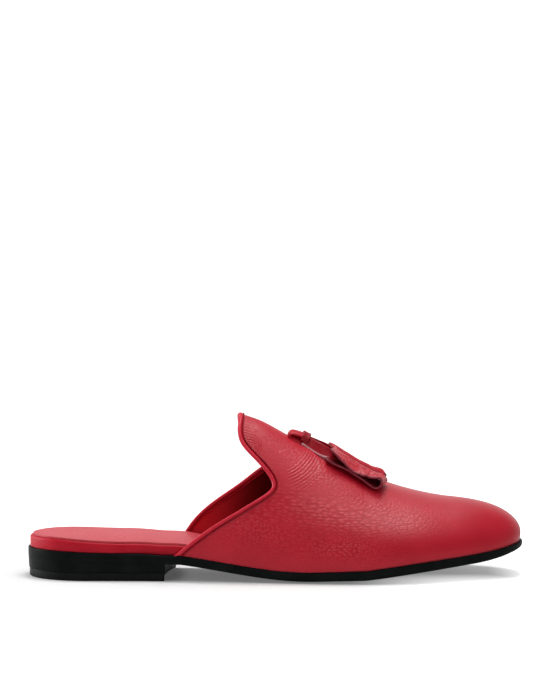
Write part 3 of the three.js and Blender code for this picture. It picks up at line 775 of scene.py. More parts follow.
# Where the grain shows: soft patches, strongest on the middle of the vamp, where it is drawn out into
# rows. It is stretched flat at the toe, along the sole and beside the notch
GRAIN_PATCHES = np.array([  # x, girth, half length, half girth, strength
    (190, 0.385, 36, 0.085, 1),
    (173, 0.67, 13, 0.11, 0.6),
    (216, 0.40, 24, 0.11, 0.45),
    (203, 0.53, 18, 0.10, 0.4),
    (190, 0.17, 18, 0.06, 1),
    (135, 0.24, 26, 0.1, 0.7),
    (232, 0.6, 26, 0.2, 0.2),
    (150, 0.8, 22, 0.16, 0.28),
])
GRAIN_LEAST = 0.12
GRAIN_FADES, GRAIN_ENDS = 235.0, 275.0  # along the shoe
RIDGE_FROM = 0.9  # girth from which it fades towards the ridge
ROWS_MIDDLE, ROWS_HALF, ROWS_SOFT = 0.385, 0.1, 0.15  # in girth
ROWS_FADE, ROWS_END = 200.0, 228.0


def patches(x, girth):
    """Sum of bells, one for each patch, in the shoe's length and in girth, kept from the least to 1."""
    at_x, at_girth, half_length, half_girth, strength = GRAIN_PATCHES.T
    far = ((x[..., None] - at_x) / half_length) ** 2 + ((girth[..., None] - at_girth) / half_girth) ** 2
    return np.clip(GRAIN_LEAST + (strength * np.exp(-far)).sum(-1), 0, 1)


grain_mark = patches(outer_x, np.broadcast_to(upper_girth, outer_x.shape))
grain_mark = grain_mark * ramp(outer_x, GRAIN_ENDS, GRAIN_FADES) * ramp(upper_girth, 1.0, RIDGE_FROM)
rows_mark = ramp(np.abs(upper_girth - ROWS_MIDDLE), ROWS_SOFT, ROWS_HALF)
rows_mark = rows_mark * ramp(outer_x, ROWS_END, ROWS_FADE)

# Wrinkles, as a count of waves and how deep they are: long arcs that sweep down from the straps round the
# foot of the loop, small arcs round a place on the tongue's piping, and puckers square to the seam
WRINKLE_ARCS = np.array([  # middle's x and girth, wave, depth, four steps of reach, four steps of angle
    (149.5, 0.88, 1.7, 0.58, 19, 23, 33, 38, 0.2, 0.45, 1.0, 1.2),
    (133.5, 0.645, 1.4, 1, 2.2, 3.4, 6.5, 9, -4, -3.5, 3.5, 4),
])
PUCKER_WAVE = 2.1
PUCKER_FULL, PUCKER_END = (1.5, 3.0), (4.0, 8.0)  # from the seam: elsewhere, and on the tongue
PUCKER_LEAST = 0.35  # depth off the tongue
TONGUE_FROM, TONGUE_FULL, TONGUE_FADES, TONGUE_ENDS = 0.62, 0.7, 0.85, 0.95  # in girth


def wrinkle_marks():
    """Each set of arcs counts the distance from its middle, seen from the side, in waves. S-shaped steps
    hold it between two reaches and between two angles, which are measured from straight down towards the
    toe."""
    count, depth = np.zeros(outer_grid.shape[:2]), np.zeros(outer_grid.shape[:2])
    for x, girth, wave, deep, start, full, fade, end, turn, turn_full, turn_fade, turn_end in WRINKLE_ARCS:
        away = from_place(x, girth)
        reach = np.hypot(away[..., 0], away[..., 2])
        angle = np.arctan2(away[..., 0], -away[..., 2])
        shown = ramp(reach, start, full) * ramp(reach, end, fade)
        shown = shown * ramp(angle, turn, turn_full) * ramp(angle, turn_end, turn_fade)
        count = np.where(reach < end, reach / wave, count)
        depth = np.maximum(depth, deep * shown)
    return count, depth


def way_along(points):
    """Length from the first point to each, along the straight lines between them."""
    return np.append(0, np.cumsum(np.linalg.norm(np.diff(points, axis=0), axis=-1)))


def round_length(grid):
    """Length round the shoe, along the columns, counted from the nearer feather edge."""
    steps = np.linalg.norm(np.diff(grid, axis=1), axis=-1)
    length = np.concatenate([np.zeros((len(grid), 1)), np.cumsum(steps, axis=1)], axis=1)
    return np.where(upper_side < 0, length, length[:, -1:] - length)


wrinkle_count, wrinkle_depth = wrinkle_marks()
pucker_count = way_along(outer_grid[0]) / PUCKER_WAVE
on_tongue = ramp(upper_girth, TONGUE_FROM, TONGUE_FULL) * ramp(upper_girth, TONGUE_ENDS, TONGUE_FADES)
pucker_depth = ramp(outer_edge, mix(*PUCKER_END, on_tongue), mix(*PUCKER_FULL, on_tongue))
pucker_depth = pucker_depth * mix(PUCKER_LEAST, 1, on_tongue)

# Where the hide was buffed, on the crown of the vamp and along the rows, and where a painted shade
# darkens the grooves beside the piping and the sole
POLISH_FROM, POLISH_FULL = 0.5, 0.85  # in girth
POLISH_LEAST, POLISH_BACK, POLISH_FRONT = 0.3, 190.0, 225.0  # along the shoe
ROWS_POLISH, POLISH_HALF = 1.1, 0.13
ROWS_POLISH_FROM, ROWS_POLISH_FULL, ROWS_POLISH_FADES, ROWS_POLISH_ENDS = 140.0, 180.0, 215.0, 250.0
SEAM_FULL, SEAM_END = 0.35, 1.1  # from an edge

forward = mix(POLISH_LEAST, 1, ramp(outer_x, POLISH_BACK, POLISH_FRONT))
row_polish = np.exp(-(((upper_girth - ROWS_MIDDLE) / POLISH_HALF) ** 2))
row_polish = row_polish * ramp(outer_x, ROWS_POLISH_FROM, ROWS_POLISH_FULL)
row_polish = row_polish * ramp(outer_x, ROWS_POLISH_ENDS, ROWS_POLISH_FADES)
polish_mark = ramp(upper_girth, POLISH_FROM, POLISH_FULL) * forward + ROWS_POLISH * row_polish
hide_round = round_length(outer_grid)
seam_shade_mark = ramp(np.minimum(outer_edge, hide_round), SEAM_END, SEAM_FULL)
vamp_marks = {
    "hide_along": outer_x,
    "hide_round": hide_round,
    "grain": grain_mark,
    "rows": rows_mark,
    "wrinkle": wrinkle_count,
    "wrinkle_depth": wrinkle_depth,
    "pucker": pucker_count,
    "pucker_depth": pucker_depth,
    "polish": polish_mark,
    "seam": seam_shade_mark,
    "inside": 0.0,
}

# Finish of the calf: its pebbles and rows, how they darken in the creases, the painted highlight on their
# crowns, how polish lies on them, and how its waves are broken up
SHAKE_SCALE, SHAKE_REACH = 0.22, (1.6, 1.6, 0.0)
PEBBLE_RIM, PEBBLE_TOP, CREASE_WIDTH = 0.6, 0.05, 0.2  # in cells
PEBBLE_LEAST = 0.6  # height of the lowest
ROUND_RANDOM, ROW_RANDOM = 0.8, 0.7
ROW_CELL, ROW_STRETCH = 1.2, (0.68, 1.0, 1.0)
HIDE_CLOUD, HIDE_PORE = 22.0, 0.5
HIDE_SMOOTH, HIDE_ROUGH = 0.38, 0.5
# How much darker the creases are, and how strong the painted highlight on the crowns is
CREASE_DARKENING, CROWN_HIGHLIGHT = 0.15, 0.5
SHEEN_LOW, SHEEN_HIGH = 0.4, 0.6
WAVE_SHAKE = 0.45
BREAK_FROM, BREAK_FULL, BREAK_LEAST = 0.2, 0.8, 0.25
PORE_HEIGHT, WRINKLE_HEIGHT, PUCKER_HEIGHT = 0.15, 1.4, 1.6  # in pebbles


def pebble_group():
    """Pebbled grain on the flat hide: Voronoi cells whose coordinates are shaken by noise. Height climbs
    from the cell's rim to a soft crown, and some pebbles stand higher than others; Crease is 1 along the
    rims."""
    tree, given, made = new_group(
        "pebbles",
        {"Vector": "Vector", "Cell": "Float", "Randomness": "Float"},
        {"Height": "Float", "Crease": "Float"},
    )
    scale = calculate(tree, "DIVIDE", 1.0, given.outputs["Cell"])
    hide = given.outputs["Vector"]
    noise = add_node(tree, "TexNoise", {"Vector": hide, "Scale": SHAKE_SCALE, "Detail": 1.0})
    shift = {0: noise.outputs["Color"], 1: SHAKE_REACH, 2: hide}
    shaken = add_node(tree, "VectorMath", shift, operation="MULTIPLY_ADD")
    where = {"Vector": shaken.outputs[0], "Scale": scale, "Randomness": given.outputs["Randomness"]}
    cells = add_node(tree, "TexVoronoi", where, voronoi_dimensions="2D").outputs
    rims = add_node(tree, "TexVoronoi", where, voronoi_dimensions="2D", feature="DISTANCE_TO_EDGE").outputs
    stand = add_node(tree, "SeparateColor", {0: cells["Color"]}).outputs[0]
    crown = rescale(tree, cells["Distance"], PEBBLE_RIM, PEBBLE_TOP)
    height = calculate(tree, "MULTIPLY", crown, rescale(tree, stand, 0, 1, PEBBLE_LEAST, 1.0))
    tree.links.new(height, made.inputs["Height"])
    tree.links.new(rescale(tree, rims["Distance"], CREASE_WIDTH, 0.0), made.inputs["Crease"])
    return tree


PEBBLES = pebble_group()


def mark(tree, name):
    """Value that a piece's mesh carries at each point."""
    return add_node(tree, "Attribute", attribute_name=name).outputs["Fac"]


def waves(tree, name, shake):
    """Wrinkles from a count of waves and their depth: a sine of the count, shaken and broken up by noise,
    from 0 to the depth."""
    lag = calculate(tree, "MULTIPLY", shake, WAVE_SHAKE)
    turns = calculate(tree, "MULTIPLY", calculate(tree, "ADD", mark(tree, name), lag), 2 * math.pi)
    wave = rescale(tree, add_node(tree, "Math", {0: turns}, operation="SINE").outputs[0], -1.0, 1.0)
    gaps = rescale(tree, shake, BREAK_FROM, BREAK_FULL, BREAK_LEAST, 1.0)
    broken = calculate(tree, "MULTIPLY", wave, gaps)
    return calculate(tree, "MULTIPLY", broken, mark(tree, name + "_depth"))


def grained_leather_finish(name, cell, depth):
    """Pebbled calf: round pebbles of a cell size that turn into drawn-out rows where the mark rows says
    so, as strong as the mark grain says, with wrinkles and seam puckers, over fine pores. Creases are
    darker, crowns carry a painted highlight, and the mark polish says where the hide was buffed."""
    finish, tree, shader = new_finish(name, IOR=1.46, Specular_IOR_Level=0.28, Coat_Roughness=0.45)
    place = millimetres(tree)
    flat = {"X": mark(tree, "hide_along"), "Y": mark(tree, "hide_round")}
    hide = add_node(tree, "CombineXYZ", flat).outputs[0]
    drawn = add_node(tree, "VectorMath", {0: hide, 1: ROW_STRETCH}, operation="MULTIPLY").outputs[0]
    round_grain = use_group(tree, PEBBLES, {"Vector": hide, "Cell": cell, "Randomness": ROUND_RANDOM})
    row_cell = ROW_CELL * cell
    row_grain = use_group(tree, PEBBLES, {"Vector": drawn, "Cell": row_cell, "Randomness": ROW_RANDOM})
    cloud = use_group(tree, MOTTLE, {"Vector": place, "Size": HIDE_CLOUD}).outputs
    pores = use_group(tree, PORES, {"Vector": place, "Size": HIDE_PORE}).outputs

    def pick(part):
        spread = {0: mark(tree, "rows"), 2: round_grain.outputs[part], 3: row_grain.outputs[part]}
        return calculate(tree, "MULTIPLY", add_node(tree, "Mix", spread).outputs[0], mark(tree, "grain"))

    pebble = pick("Height")
    colour = tint(tree, cloud["Tone"], RED_MID, RED_LIGHT)
    # Darker in the creases, and a painted highlight on the pebbles' crowns
    colour = tint(tree, calculate(tree, "MULTIPLY", pick("Crease"), CREASE_DARKENING), colour, RED_DEEP)
    colour = tint(tree, calculate(tree, "MULTIPLY", pebble, CROWN_HIGHLIGHT), colour, RED_CROWN_HIGHLIGHT)
    tree.links.new(colour, shader.inputs["Base Color"])
    satin = rescale(tree, cloud["Fine"], 0, 1, HIDE_SMOOTH, HIDE_ROUGH)
    tree.links.new(satin, shader.inputs["Roughness"])
    sheen = rescale(tree, cloud["Fine"], 0, 1, SHEEN_LOW, SHEEN_HIGH)
    tree.links.new(calculate(tree, "MULTIPLY", sheen, mark(tree, "polish")), shader.inputs["Coat Weight"])
    fine = calculate(tree, "MULTIPLY", pores["Height"], PORE_HEIGHT)
    wrinkles = calculate(tree, "MULTIPLY", waves(tree, "wrinkle", cloud["Tone"]), WRINKLE_HEIGHT)
    puckers = calculate(tree, "MULTIPLY", waves(tree, "pucker", cloud["Tone"]), PUCKER_HEIGHT)
    grain = calculate(tree, "ADD", pebble, fine)
    folds = calculate(tree, "ADD", wrinkles, puckers)
    bump(tree, shader, calculate(tree, "ADD", grain, folds), depth)
    return finish


def lay_colour(finish, name, colour):
    """Lays a colour over a finish as far as a mark says."""
    tree = finish.node_tree
    shader = tree.nodes["Principled BSDF"]
    under = shader.inputs["Base Color"].links[0].from_socket
    tree.links.new(tint(tree, mark(tree, name), under, colour), shader.inputs["Base Color"])


PEBBLED_CALF = grained_leather_finish("pebbled calf", cell=2.3, depth=0.21)
# Painted shade in the grooves beside the piping and the sole, as far as the mark says
lay_colour(PEBBLED_CALF, "seam", SEAM_PAINTED_SHADE)
LINING = smooth_leather_finish(
    "lining leather",
    LINING_DEEP,
    LINING_LIT_MID,
    LINING_LIT_LIGHT,
    roughness=(0.55, 0.65),
    pore_depth=0.04,
    gloss=0.05,
)
# Painted shade: the lining darkens deeper inside the shoe, as far as the mark inside says
lay_colour(LINING, "inside", LINING_PAINTED_SHADE)
plain_marks = {name: 0.0 for name in vamp_marks}
lining_shade_mark = ramp(inner_x, LINING_LIT_TO, LINING_SHADED_FROM)[::-1]
wall_skins = [
    {"points": outer_skin, "marks": vamp_marks},
    {"points": inner_skin[::-1], "finish": 1, "marks": plain_marks | {"inside": lining_shade_mark}},
    {"points": np.stack([inner_skin[0], outer_skin[0]]), "marks": plain_marks},
    {"points": np.stack([outer_skin[:, 0], inner_skin[:, 0]]), "marks": plain_marks},
    {"points": np.stack([inner_skin[:, -1], outer_skin[:, -1]]), "marks": plain_marks},
]
add_piece("vamp_leather", wall_skins, [PEBBLED_CALF, LINING], "red_grain", "upper")


# Topline piping
# A cord covered in smooth red leather and sewn between the upper and its lining, from the sole up over
# the wings, the notch and the tongue and down again. A narrow flange joins it to the upper's edge.
PIPING = 2.5  # diameter
PIPING_SEAT = 1.6  # from the upper's edge to the cord's middle
PIPING_PROUD = 0.3  # cord's middle outside the wall's middle
PIPING_SIDES = 36
PIPING_RUN_ON = 2.0  # past the feather edge
FLANGE_REACH, FLANGE_SPREAD = 1.95, 0.3
# The piping's reds are lighter than the upper's: painted light for the light that the cord catches on top
PIPING_LIT_MID = (0.49, 0.010, 0.028, 1)
PIPING_LIT_LIGHT = (0.53, 0.014, 0.034, 1)


def capped(grid, middles):
    """Grid with one more row at each end, which gathers the end on its middle."""
    ends = middles + np.zeros_like(grid)
    return np.concatenate([ends[:1], grid, ends[-1:]])


def piping_grid():
    """Round profile with a flange, carried along the topline: the cord's middle lies a fixed way behind
    the upper's edge, square to it, and a bump in the profile's radius reaches forward to the edge. The
    cord runs on a little past both feather edges and is trimmed level with the sole."""
    depth = WALL / 2 - PIPING_PROUD
    edge_x = topline(upper_girth, upper_side)
    edge = rib(edge_x, upper_girth, upper_side, depth)
    ahead = rib(edge_x + 1, upper_girth, upper_side, depth) - edge
    along = unit(np.gradient(edge, axis=0))
    ahead = unit(ahead - (ahead * along).sum(-1, keepdims=True) * along)
    path = edge - ahead * PIPING_SEAT
    before = 2 * path[:1] - path[1:2] - PIPING_RUN_ON * along[:1]
    after = 2 * path[-1:] - path[-2:-1] + PIPING_RUN_ON * along[-1:]
    path = np.concatenate([before, path, after])
    along = unit(np.gradient(path, axis=0))
    ahead = np.concatenate([ahead[:1], ahead, ahead[-1:]])
    away = unit(np.cross(ahead, along))
    turn = np.linspace(0, 2 * np.pi, PIPING_SIDES, endpoint=False)
    from_edge = np.minimum(turn, 2 * np.pi - turn)
    radius = PIPING / 2 + (FLANGE_REACH - PIPING / 2) * np.exp(-((from_edge / FLANGE_SPREAD) ** 2))
    profile = ahead[:, None] * np.cos(turn)[:, None] + away[:, None] * np.sin(turn)[:, None]
    grid = path[:, None] + profile * radius[:, None]
    grid[..., 2] = np.maximum(grid[..., 2], sole_top(grid[..., 0], grid[..., 1]) + SEAM_GAP)
    return capped(grid, grid.mean(axis=1, keepdims=True))


# Its lighter reds are painted light, for the light that the cord catches on top
PIPING_LEATHER = smooth_leather_finish(
    "piping leather", RED_DEEP, PIPING_LIT_MID, PIPING_LIT_LIGHT, roughness=(0.36, 0.48), pore_depth=0.05
)
piping_skin = {"points": piping_grid(), "wrap": True}
add_piece("piping_cord", [piping_skin], [PIPING_LEATHER], "red_smooth", "topline_piping")


# Tassel loop
# A flat strap that comes up out of the vamp, bends back on itself over the ridge and goes into the
# keeper. Its edges are dyed, and it lies bowed over the vamp's crown.
ORNAMENT_PLACE = 161.9  # on the ridge, just behind the keeper
LOOP_WIDTH, STRAP_THICKNESS = 12.6, 1.5
LOOP_STEPS, SHEET_COLUMNS, ROUND_POINTS = 60, 13, 7
GIRTH_STEP = 0.01  # by which the way across the vamp is found

LOOP_FOLD = np.array([  # along the vamp, then heights of the strap's middle and of its edges over the ridge
    (3, 2.4, -1.2),
    (-2.2, 1.9, -1.4),
    (-4.4, 1.7, -0.6),
    (-5.7, 2.5, 0.6),
    (-5.2, 3.5, 1.8),
    (-3.4, 4.2, 2.7),
    (0.5, 4.9, 3.4),
    (3, 5, 3.6),
])


def vamp_frame(x, girth, side):
    """Place on the vamp: its point, and unit vectors along it to the toe, across it to the medial side
    and away from it. They come from small steps along the shoe and round it."""
    here, toewards, heelwards = (rib(np.float64(x + step), girth, side) for step in (0, 1, -1))
    along = unit(toewards - heelwards)
    across = (here - rib(np.float64(x), girth - GIRTH_STEP, side)) * -side
    if girth == 1:
        across = np.array([0.0, 1.0, 0.0])
    away = unit(np.cross(along, across))
    return here, along, np.cross(away, along), away


def smooth_path(points, steps):
    """Curve through points, each coordinate a spline over the length of the straight lines between
    them."""
    length = way_along(points)
    even = np.linspace(0, length[-1], steps)
    return np.stack([spline(length, c)(even) for c in points.T], -1)


def sheet_skin(middle, thickness, first_raw, last_raw, **marks):
    """Closed skin of a leather sheet, from the grid of its middle: one face lies half a thickness to one
    side, the other to the other, and half circles join them along the first and the last column, where
    the mark raw says how much of the cut hide shows. The mark flesh is 1 on the second face."""
    normal = unit(np.cross(np.gradient(middle, axis=0), np.gradient(middle, axis=1))) * (thickness / 2)
    turn = np.linspace(0, np.pi, ROUND_POINTS)[1:-1][:, None]
    first_out, last_out = middle[:, 0] - middle[:, 1], middle[:, -1] - middle[:, -2]
    first_out, last_out = (unit(out)[:, None] * (thickness / 2) for out in (first_out, last_out))
    last_edge = middle[:, -1:] + normal[:, -1:] * np.cos(turn) + last_out * np.sin(turn)
    first_edge = middle[:, :1] - normal[:, :1] * np.cos(turn) + first_out * np.sin(turn)
    grid = np.concatenate([middle + normal, last_edge, (middle - normal)[:, ::-1], first_edge], axis=1)
    columns = middle.shape[1]

    def around(value):
        value = np.broadcast_to(value, middle.shape[:2])
        last = np.repeat(value[:, -1:], len(turn), axis=1)
        first = np.repeat(value[:, :1], len(turn), axis=1)
        return np.concatenate([value, last, value[:, ::-1], first], axis=1)

    second = columns + len(turn)
    raw, flesh = np.zeros(grid.shape[:2]), np.zeros(grid.shape[:2])
    raw[:, columns - 1 : second + 1] = np.reshape(last_raw, (-1, 1))
    raw[:, -len(turn) :] = np.reshape(first_raw, (-1, 1))
    flesh[:, second : second + columns] = 1
    marks = {name: around(value) for name, value in marks.items()} | {"raw": raw, "flesh": flesh}
    marks = {name: capped(value, value) for name, value in marks.items()}
    return {"points": capped(grid, grid.mean(axis=1, keepdims=True)), "wrap": True, "marks": marks}


def loop_middle():
    """The loop's fold along the ridge, carried across it, where its height falls to that of the edges as
    the square of the way."""
    here, along, across, away = vamp_frame(ORNAMENT_PLACE, 1.0, 1.0)
    fold = smooth_path(LOOP_FOLD, LOOP_STEPS)[:, None]
    out = np.linspace(-1, 1, SHEET_COLUMNS)[None, :, None]
    height = mix(fold[..., 1:2], fold[..., 2:], out**2)
    wide = out * (LOOP_WIDTH - STRAP_THICKNESS) / 2
    return here + along * fold[..., :1] + across * wide + away * height


LOOP_LEATHER = smooth_leather_finish(
    "loop leather", RED_DEEP, RED_MID, RED_LIGHT, roughness=(0.38, 0.5), pore_depth=0.05
)
loop_skin = sheet_skin(loop_middle(), STRAP_THICKNESS, 0.0, 0.0)
add_piece("loop_strap", [loop_skin], [LOOP_LEATHER], "red_smooth", "tassel_loop")


# Tassel keeper
# A short band of the same leather wrapped round loop and straps and glued underneath. It pulls in a
# little at its middle, and its ends flare.
KEEPER_START, KEEPER_LENGTH = 1.2, 5.0
KEEPER_WIDTH, KEEPER_HEIGHT, KEEPER_LIFT = 13.4, 7.2, 0.1
KEEPER_SQUARE = 3.6  # power of its rounded section: 2 is an ellipse, larger is squarer
KEEPER_WAIST = 0.06
CROWN_BOW = 0.047  # drop of its top across the ridge, per square millimetre
KEEPER_ROWS, KEEPER_COLUMNS = 25, 64
KEEPER_ROUND = 0.7
# A darker copy of the upper's red for the keeper and the straps: painted shade
RED_SHADED_MID = (0.25, 0.003, 0.010, 1)
RED_SHADED_LIGHT = (0.30, 0.005, 0.014, 1)


def keeper_grid():
    """Rounded box section carried along the vamp: a superellipse, scaled by a shallow parabola for the
    waist, drawn in by a quarter circle at both ends, and bowed over the ridge at its top."""
    here, along, across, away = vamp_frame(ORNAMENT_PLACE, 1.0, 1.0)
    turn = np.linspace(0, 2 * np.pi, KEEPER_COLUMNS, endpoint=False)
    wide = np.sign(np.cos(turn)) * np.abs(np.cos(turn)) ** (2 / KEEPER_SQUARE)
    high = np.sign(np.sin(turn)) * np.abs(np.sin(turn)) ** (2 / KEEPER_SQUARE)
    reach = np.sin(np.linspace(-np.pi / 2, np.pi / 2, KEEPER_ROWS))
    waist = 1 - KEEPER_WAIST * (1 - reach**2)
    draw = roll((1 - np.abs(reach)) * KEEPER_LENGTH / 2, KEEPER_ROUND)
    half_wide = (KEEPER_WIDTH / 2 * waist - draw)[:, None] * wide
    bow = CROWN_BOW * half_wide**2 * (1 + high) / 2
    half_high = (KEEPER_HEIGHT / 2 * waist - draw)[:, None] * high - bow
    middle = here + along * (KEEPER_START + KEEPER_LENGTH / 2) + away * (KEEPER_LIFT + KEEPER_HEIGHT / 2)
    path = middle + along * (reach * KEEPER_LENGTH / 2)[:, None]
    grid = path[:, None] + across * half_wide[..., None] + away * half_high[..., None]
    return capped(grid, path[:, None])


# Its darker reds are painted shade
KEEPER_LEATHER = smooth_leather_finish(
    "keeper leather", RED_DEEP, RED_SHADED_MID, RED_SHADED_LIGHT, roughness=(0.38, 0.5), pore_depth=0.07
)
keeper_skin = {"points": keeper_grid(), "wrap": True}
add_piece("keeper_band", [keeper_skin], [KEEPER_LEATHER], "red_smooth", "tassel_keeper")


# Tassels
# On each side of the ridge a broad strip of the calf, folded back on itself at the toe end. Its upper
# layer is crinkled, and a tack pulls that layer's outer edge down to the lower one, so that the fold
# opens at both ends.
SIDES = {"lateral": -1.0, "medial": 1.0}
TASSEL_PLACE, TASSEL_GIRTH, TASSEL_SPLAY = 195.0, 0.85, 0.2
TASSEL_LIFT = 0.9
MEDIAL_RAISE = 0.6  # how much higher the medial tassel lies
TASSEL_WIDTH, TASSEL_STRIP, TASSEL_OUT = 16.0, 1.3, 1.0
TASSEL_STEPS, TASSEL_COLUMNS = 190, 27
TASSEL_CORNER = 2.2  # radius of the strip's corners
TASSEL_BEND = 1.3  # power by which the outer edge leaves the inner one
INNER_CURL, CURL_POWER = 4.2, 8  # drop of the upper layer's inner edge
CRINKLE_DEPTH, MEDIAL_CRINKLE = 0.75, 0.15  # the medial strip is smoother
CRINKLE_END, CRINKLE_IN = 2.0, 9.0  # from the upper layer's end
CRINKLE_FROM, CRINKLE_FULL = 0.48, 0.58  # along the strip
CRINKLE_INNER = 0.45  # nearer than this to the inner edge it fades
CRINKLE_SPAN, CRINKLE_LEVEL = 1.6, 0.4  # what brings it to a height of about 1 round a middle of 0
TACK_PLACE, TACK_REACH = 2.0, 3.5  # the crinkle fades out round the tack too
TASSEL_EDGE = (0.16, 0.012, 0.028, 1)
# The flesh side is matt, and its darker red is painted shade inside the folds
FLESH_FOLD_SHADE, FLESH_ROUGHNESS = (0.22, 0.003, 0.007, 1), 0.95
TASSEL_RAW, TASSEL_GRAIN, TASSEL_POLISH = 0.85, 0.6, 0.5

TASSEL_FOLD = np.array([  # along the vamp, then heights of the inner and the outer edge over it
    (-17, 0, 1),
    (-9.4, 0, 1.1),
    (-2.3, 0.1, 2),
    (2.4, 0.1, 1.8),
    (12, 0.4, 1.1),
    (17.6, 0.9, 0.8),
    (19.9, 3.6, 4.7),
    (18, 6.2, 8),
    (12.6, 5.6, 5.6),
    (5.6, 5.3, 3.9),
    (2.4, 5.2, 3.1),
    (-1.3, 5.2, 3.5),
    (-6.7, 5.2, 5.2),
    (-11.3, 5.2, 6.4),
    (-17, 5.3, 8),
])
CRINKLE_WAVES = (  # turn per millimetre along and across, times of the phase, start, weight
    (0.42, 0.36, 1, 0, 1.0),
    (0.27, -0.52, 2, 1, 1.0),
    (0.75, 0.12, 3, 0, 0.6),
)


def crinkle(along, across, phase):
    """Creased leather: three crossing sets of folded waves, each the square of one minus a bent-back
    sine, so that ridges are sharp and troughs round."""
    height = 0.0
    for turn_along, turn_across, times, start, weight in CRINKLE_WAVES:
        wave = np.sin(along * turn_along + across * turn_across + times * phase + start)
        height = height + weight * (1 - np.abs(wave)) ** 2
    return height / CRINKLE_SPAN - CRINKLE_LEVEL


def tassel_frame(side):
    """Place of a tassel on the vamp, turned by the splay about the vamp's own normal."""
    here, along, across, away = vamp_frame(TASSEL_PLACE, TASSEL_GIRTH, side)
    c, s = math.cos(TASSEL_SPLAY), side * math.sin(TASSEL_SPLAY)
    lift = TASSEL_LIFT + MEDIAL_RAISE * (side > 0)
    return here + away * lift, along * c + across * s, across * c - along * s, away


def tassel_middle(side):
    """Middle of the folded strip: along the path of its fold, and across it from the inner edge's height
    to the outer one's by a power of the way, with rounded corners. The upper layer carries the
    crinkle."""
    here, along, across, away = tassel_frame(side)
    fold = smooth_path(TASSEL_FOLD, TASSEL_STEPS)[:, None]
    outer = np.linspace(0, 1, TASSEL_COLUMNS)[None, :: int(-side)]  # the flesh side is folded inwards
    length = way_along(fold[:, 0, :2])
    corner = roll(np.minimum(length, length[-1] - length), TASSEL_CORNER)[:, None]
    wide = side * (TASSEL_OUT + (2 * outer - 1) * ((TASSEL_WIDTH - TASSEL_STRIP) / 2 - corner))
    height = mix(fold[..., 1], fold[..., 2], outer**TASSEL_BEND)
    way = np.linspace(0, 1, TASSEL_STEPS)[:, None]
    upper_layer = ramp(way, CRINKLE_FROM, CRINKLE_FULL)
    depth = CRINKLE_DEPTH if side < 0 else MEDIAL_CRINKLE
    creases = depth * crinkle(fold[..., 0], wide, side) * ramp(outer, 0, CRINKLE_INNER)
    creases = creases * ramp(np.abs(fold[..., 0] - TACK_PLACE), 0, TACK_REACH)
    creases = creases * ramp(length[-1] - length, CRINKLE_END, CRINKLE_IN)[:, None]
    relief = creases - INNER_CURL * (1 - outer) ** CURL_POWER
    height = height + upper_layer * relief
    return here + along * fold[..., :1] + across * wide[..., None] + away * height[..., None]


def flesh_side_and_fold_shade(finish):
    """Turns a finish into the hide's matt flesh side where the mark flesh says so. Its darker red is
    painted shade for the inside of the tassels' folds.
    """
    lay_colour(finish, "flesh", FLESH_FOLD_SHADE)
    tree = finish.node_tree
    shader = tree.nodes["Principled BSDF"]
    smooth = shader.inputs["Roughness"].links[0].from_socket
    matt = add_node(tree, "Mix", {0: mark(tree, "flesh"), 2: smooth, 3: FLESH_ROUGHNESS}).outputs[0]
    tree.links.new(matt, shader.inputs["Roughness"])


TASSEL_CALF = grained_leather_finish("crinkled calf", cell=1.8, depth=0.14)
# Matt flesh side, darkened by painted shade inside the folds
flesh_side_and_fold_shade(TASSEL_CALF)
lay_colour(TASSEL_CALF, "raw", TASSEL_EDGE)
for name, side in SIDES.items():
    middle = tassel_middle(side)
    steps = np.linalg.norm(np.diff(middle, axis=0), axis=-1).mean(axis=1)
    tassel_marks = {
        "hide_along": np.append(0, np.cumsum(steps))[:, None],
        "hide_round": np.linspace(0, TASSEL_WIDTH, TASSEL_COLUMNS),
        "grain": TASSEL_GRAIN,
        "polish": TASSEL_POLISH,
    }
    tassel = sheet_skin(middle, TASSEL_STRIP, TASSEL_RAW, TASSEL_RAW, **tassel_marks)
    add_piece(f"tassel_fold_{name}", [tassel], [TASSEL_CALF], "red_grain", f"tassel_{name}")


# Tassel straps
# A narrow strap on each side, from inside the keeper down into the tassel's mouth. The two lean together
# like a roof over the ridge, and their lower edges are cut raw and left pale.
STRAP_WIDTH, STRAP_STEPS = 7.2, 60
RAW_TO, RAW_NONE = 0.7, 0.78  # along the strap, where the pale edge fades out in the mouth
RAW_PINK = (0.66, 0.34, 0.37, 1)

STRAP_ROUTE = np.array([  # along the keeper, out from the ridge, up from the vamp, roll from level
    (3.2, 4.6, 2.0, 0.95),
    (6.3, 5, 2.0, 0.95),
])
STRAP_ENTRY = np.array([  # along the tassel, out from its middle, up from the vamp, roll from level
    (-17.8, 2.2, 2.5, 1),
    (-12.5, -2.2, 2.3, 0.6),
])


def strap_middle(side):
    """Middle of a strap: a curve from inside the keeper into the tassel's mouth, carried across along a
    line that is turned by the roll about the curve, inner edge up."""
    places = []
    frames = vamp_frame(ORNAMENT_PLACE, 1.0, 1.0), tassel_frame(side)
    for (here, along, across, away), rows in zip(frames, (STRAP_ROUTE, STRAP_ENTRY)):
        ahead, out, up = rows[:, :1], rows[:, 1:2] * side, rows[:, 2:3]
        places.append(here + along * ahead + across * out + away * up)
    places = np.concatenate(places)
    rolls = np.concatenate([STRAP_ROUTE[:, 3:], STRAP_ENTRY[:, 3:]])
    path = smooth_path(np.concatenate([places, rolls], axis=1), STRAP_STEPS)
    ahead = unit(np.gradient(path[:, :3], axis=0))
    out = unit(np.cross(ahead, [0.0, 0.0, -side]))
    down = unit(np.cross(out, ahead)) * side
    lean = out * np.cos(path[:, 3:]) + down * np.sin(path[:, 3:])
    wide = np.linspace(-1, 1, SHEET_COLUMNS)[None, :, None] * (STRAP_WIDTH - STRAP_THICKNESS) / 2
    return path[:, None, :3] + lean[:, None] * wide


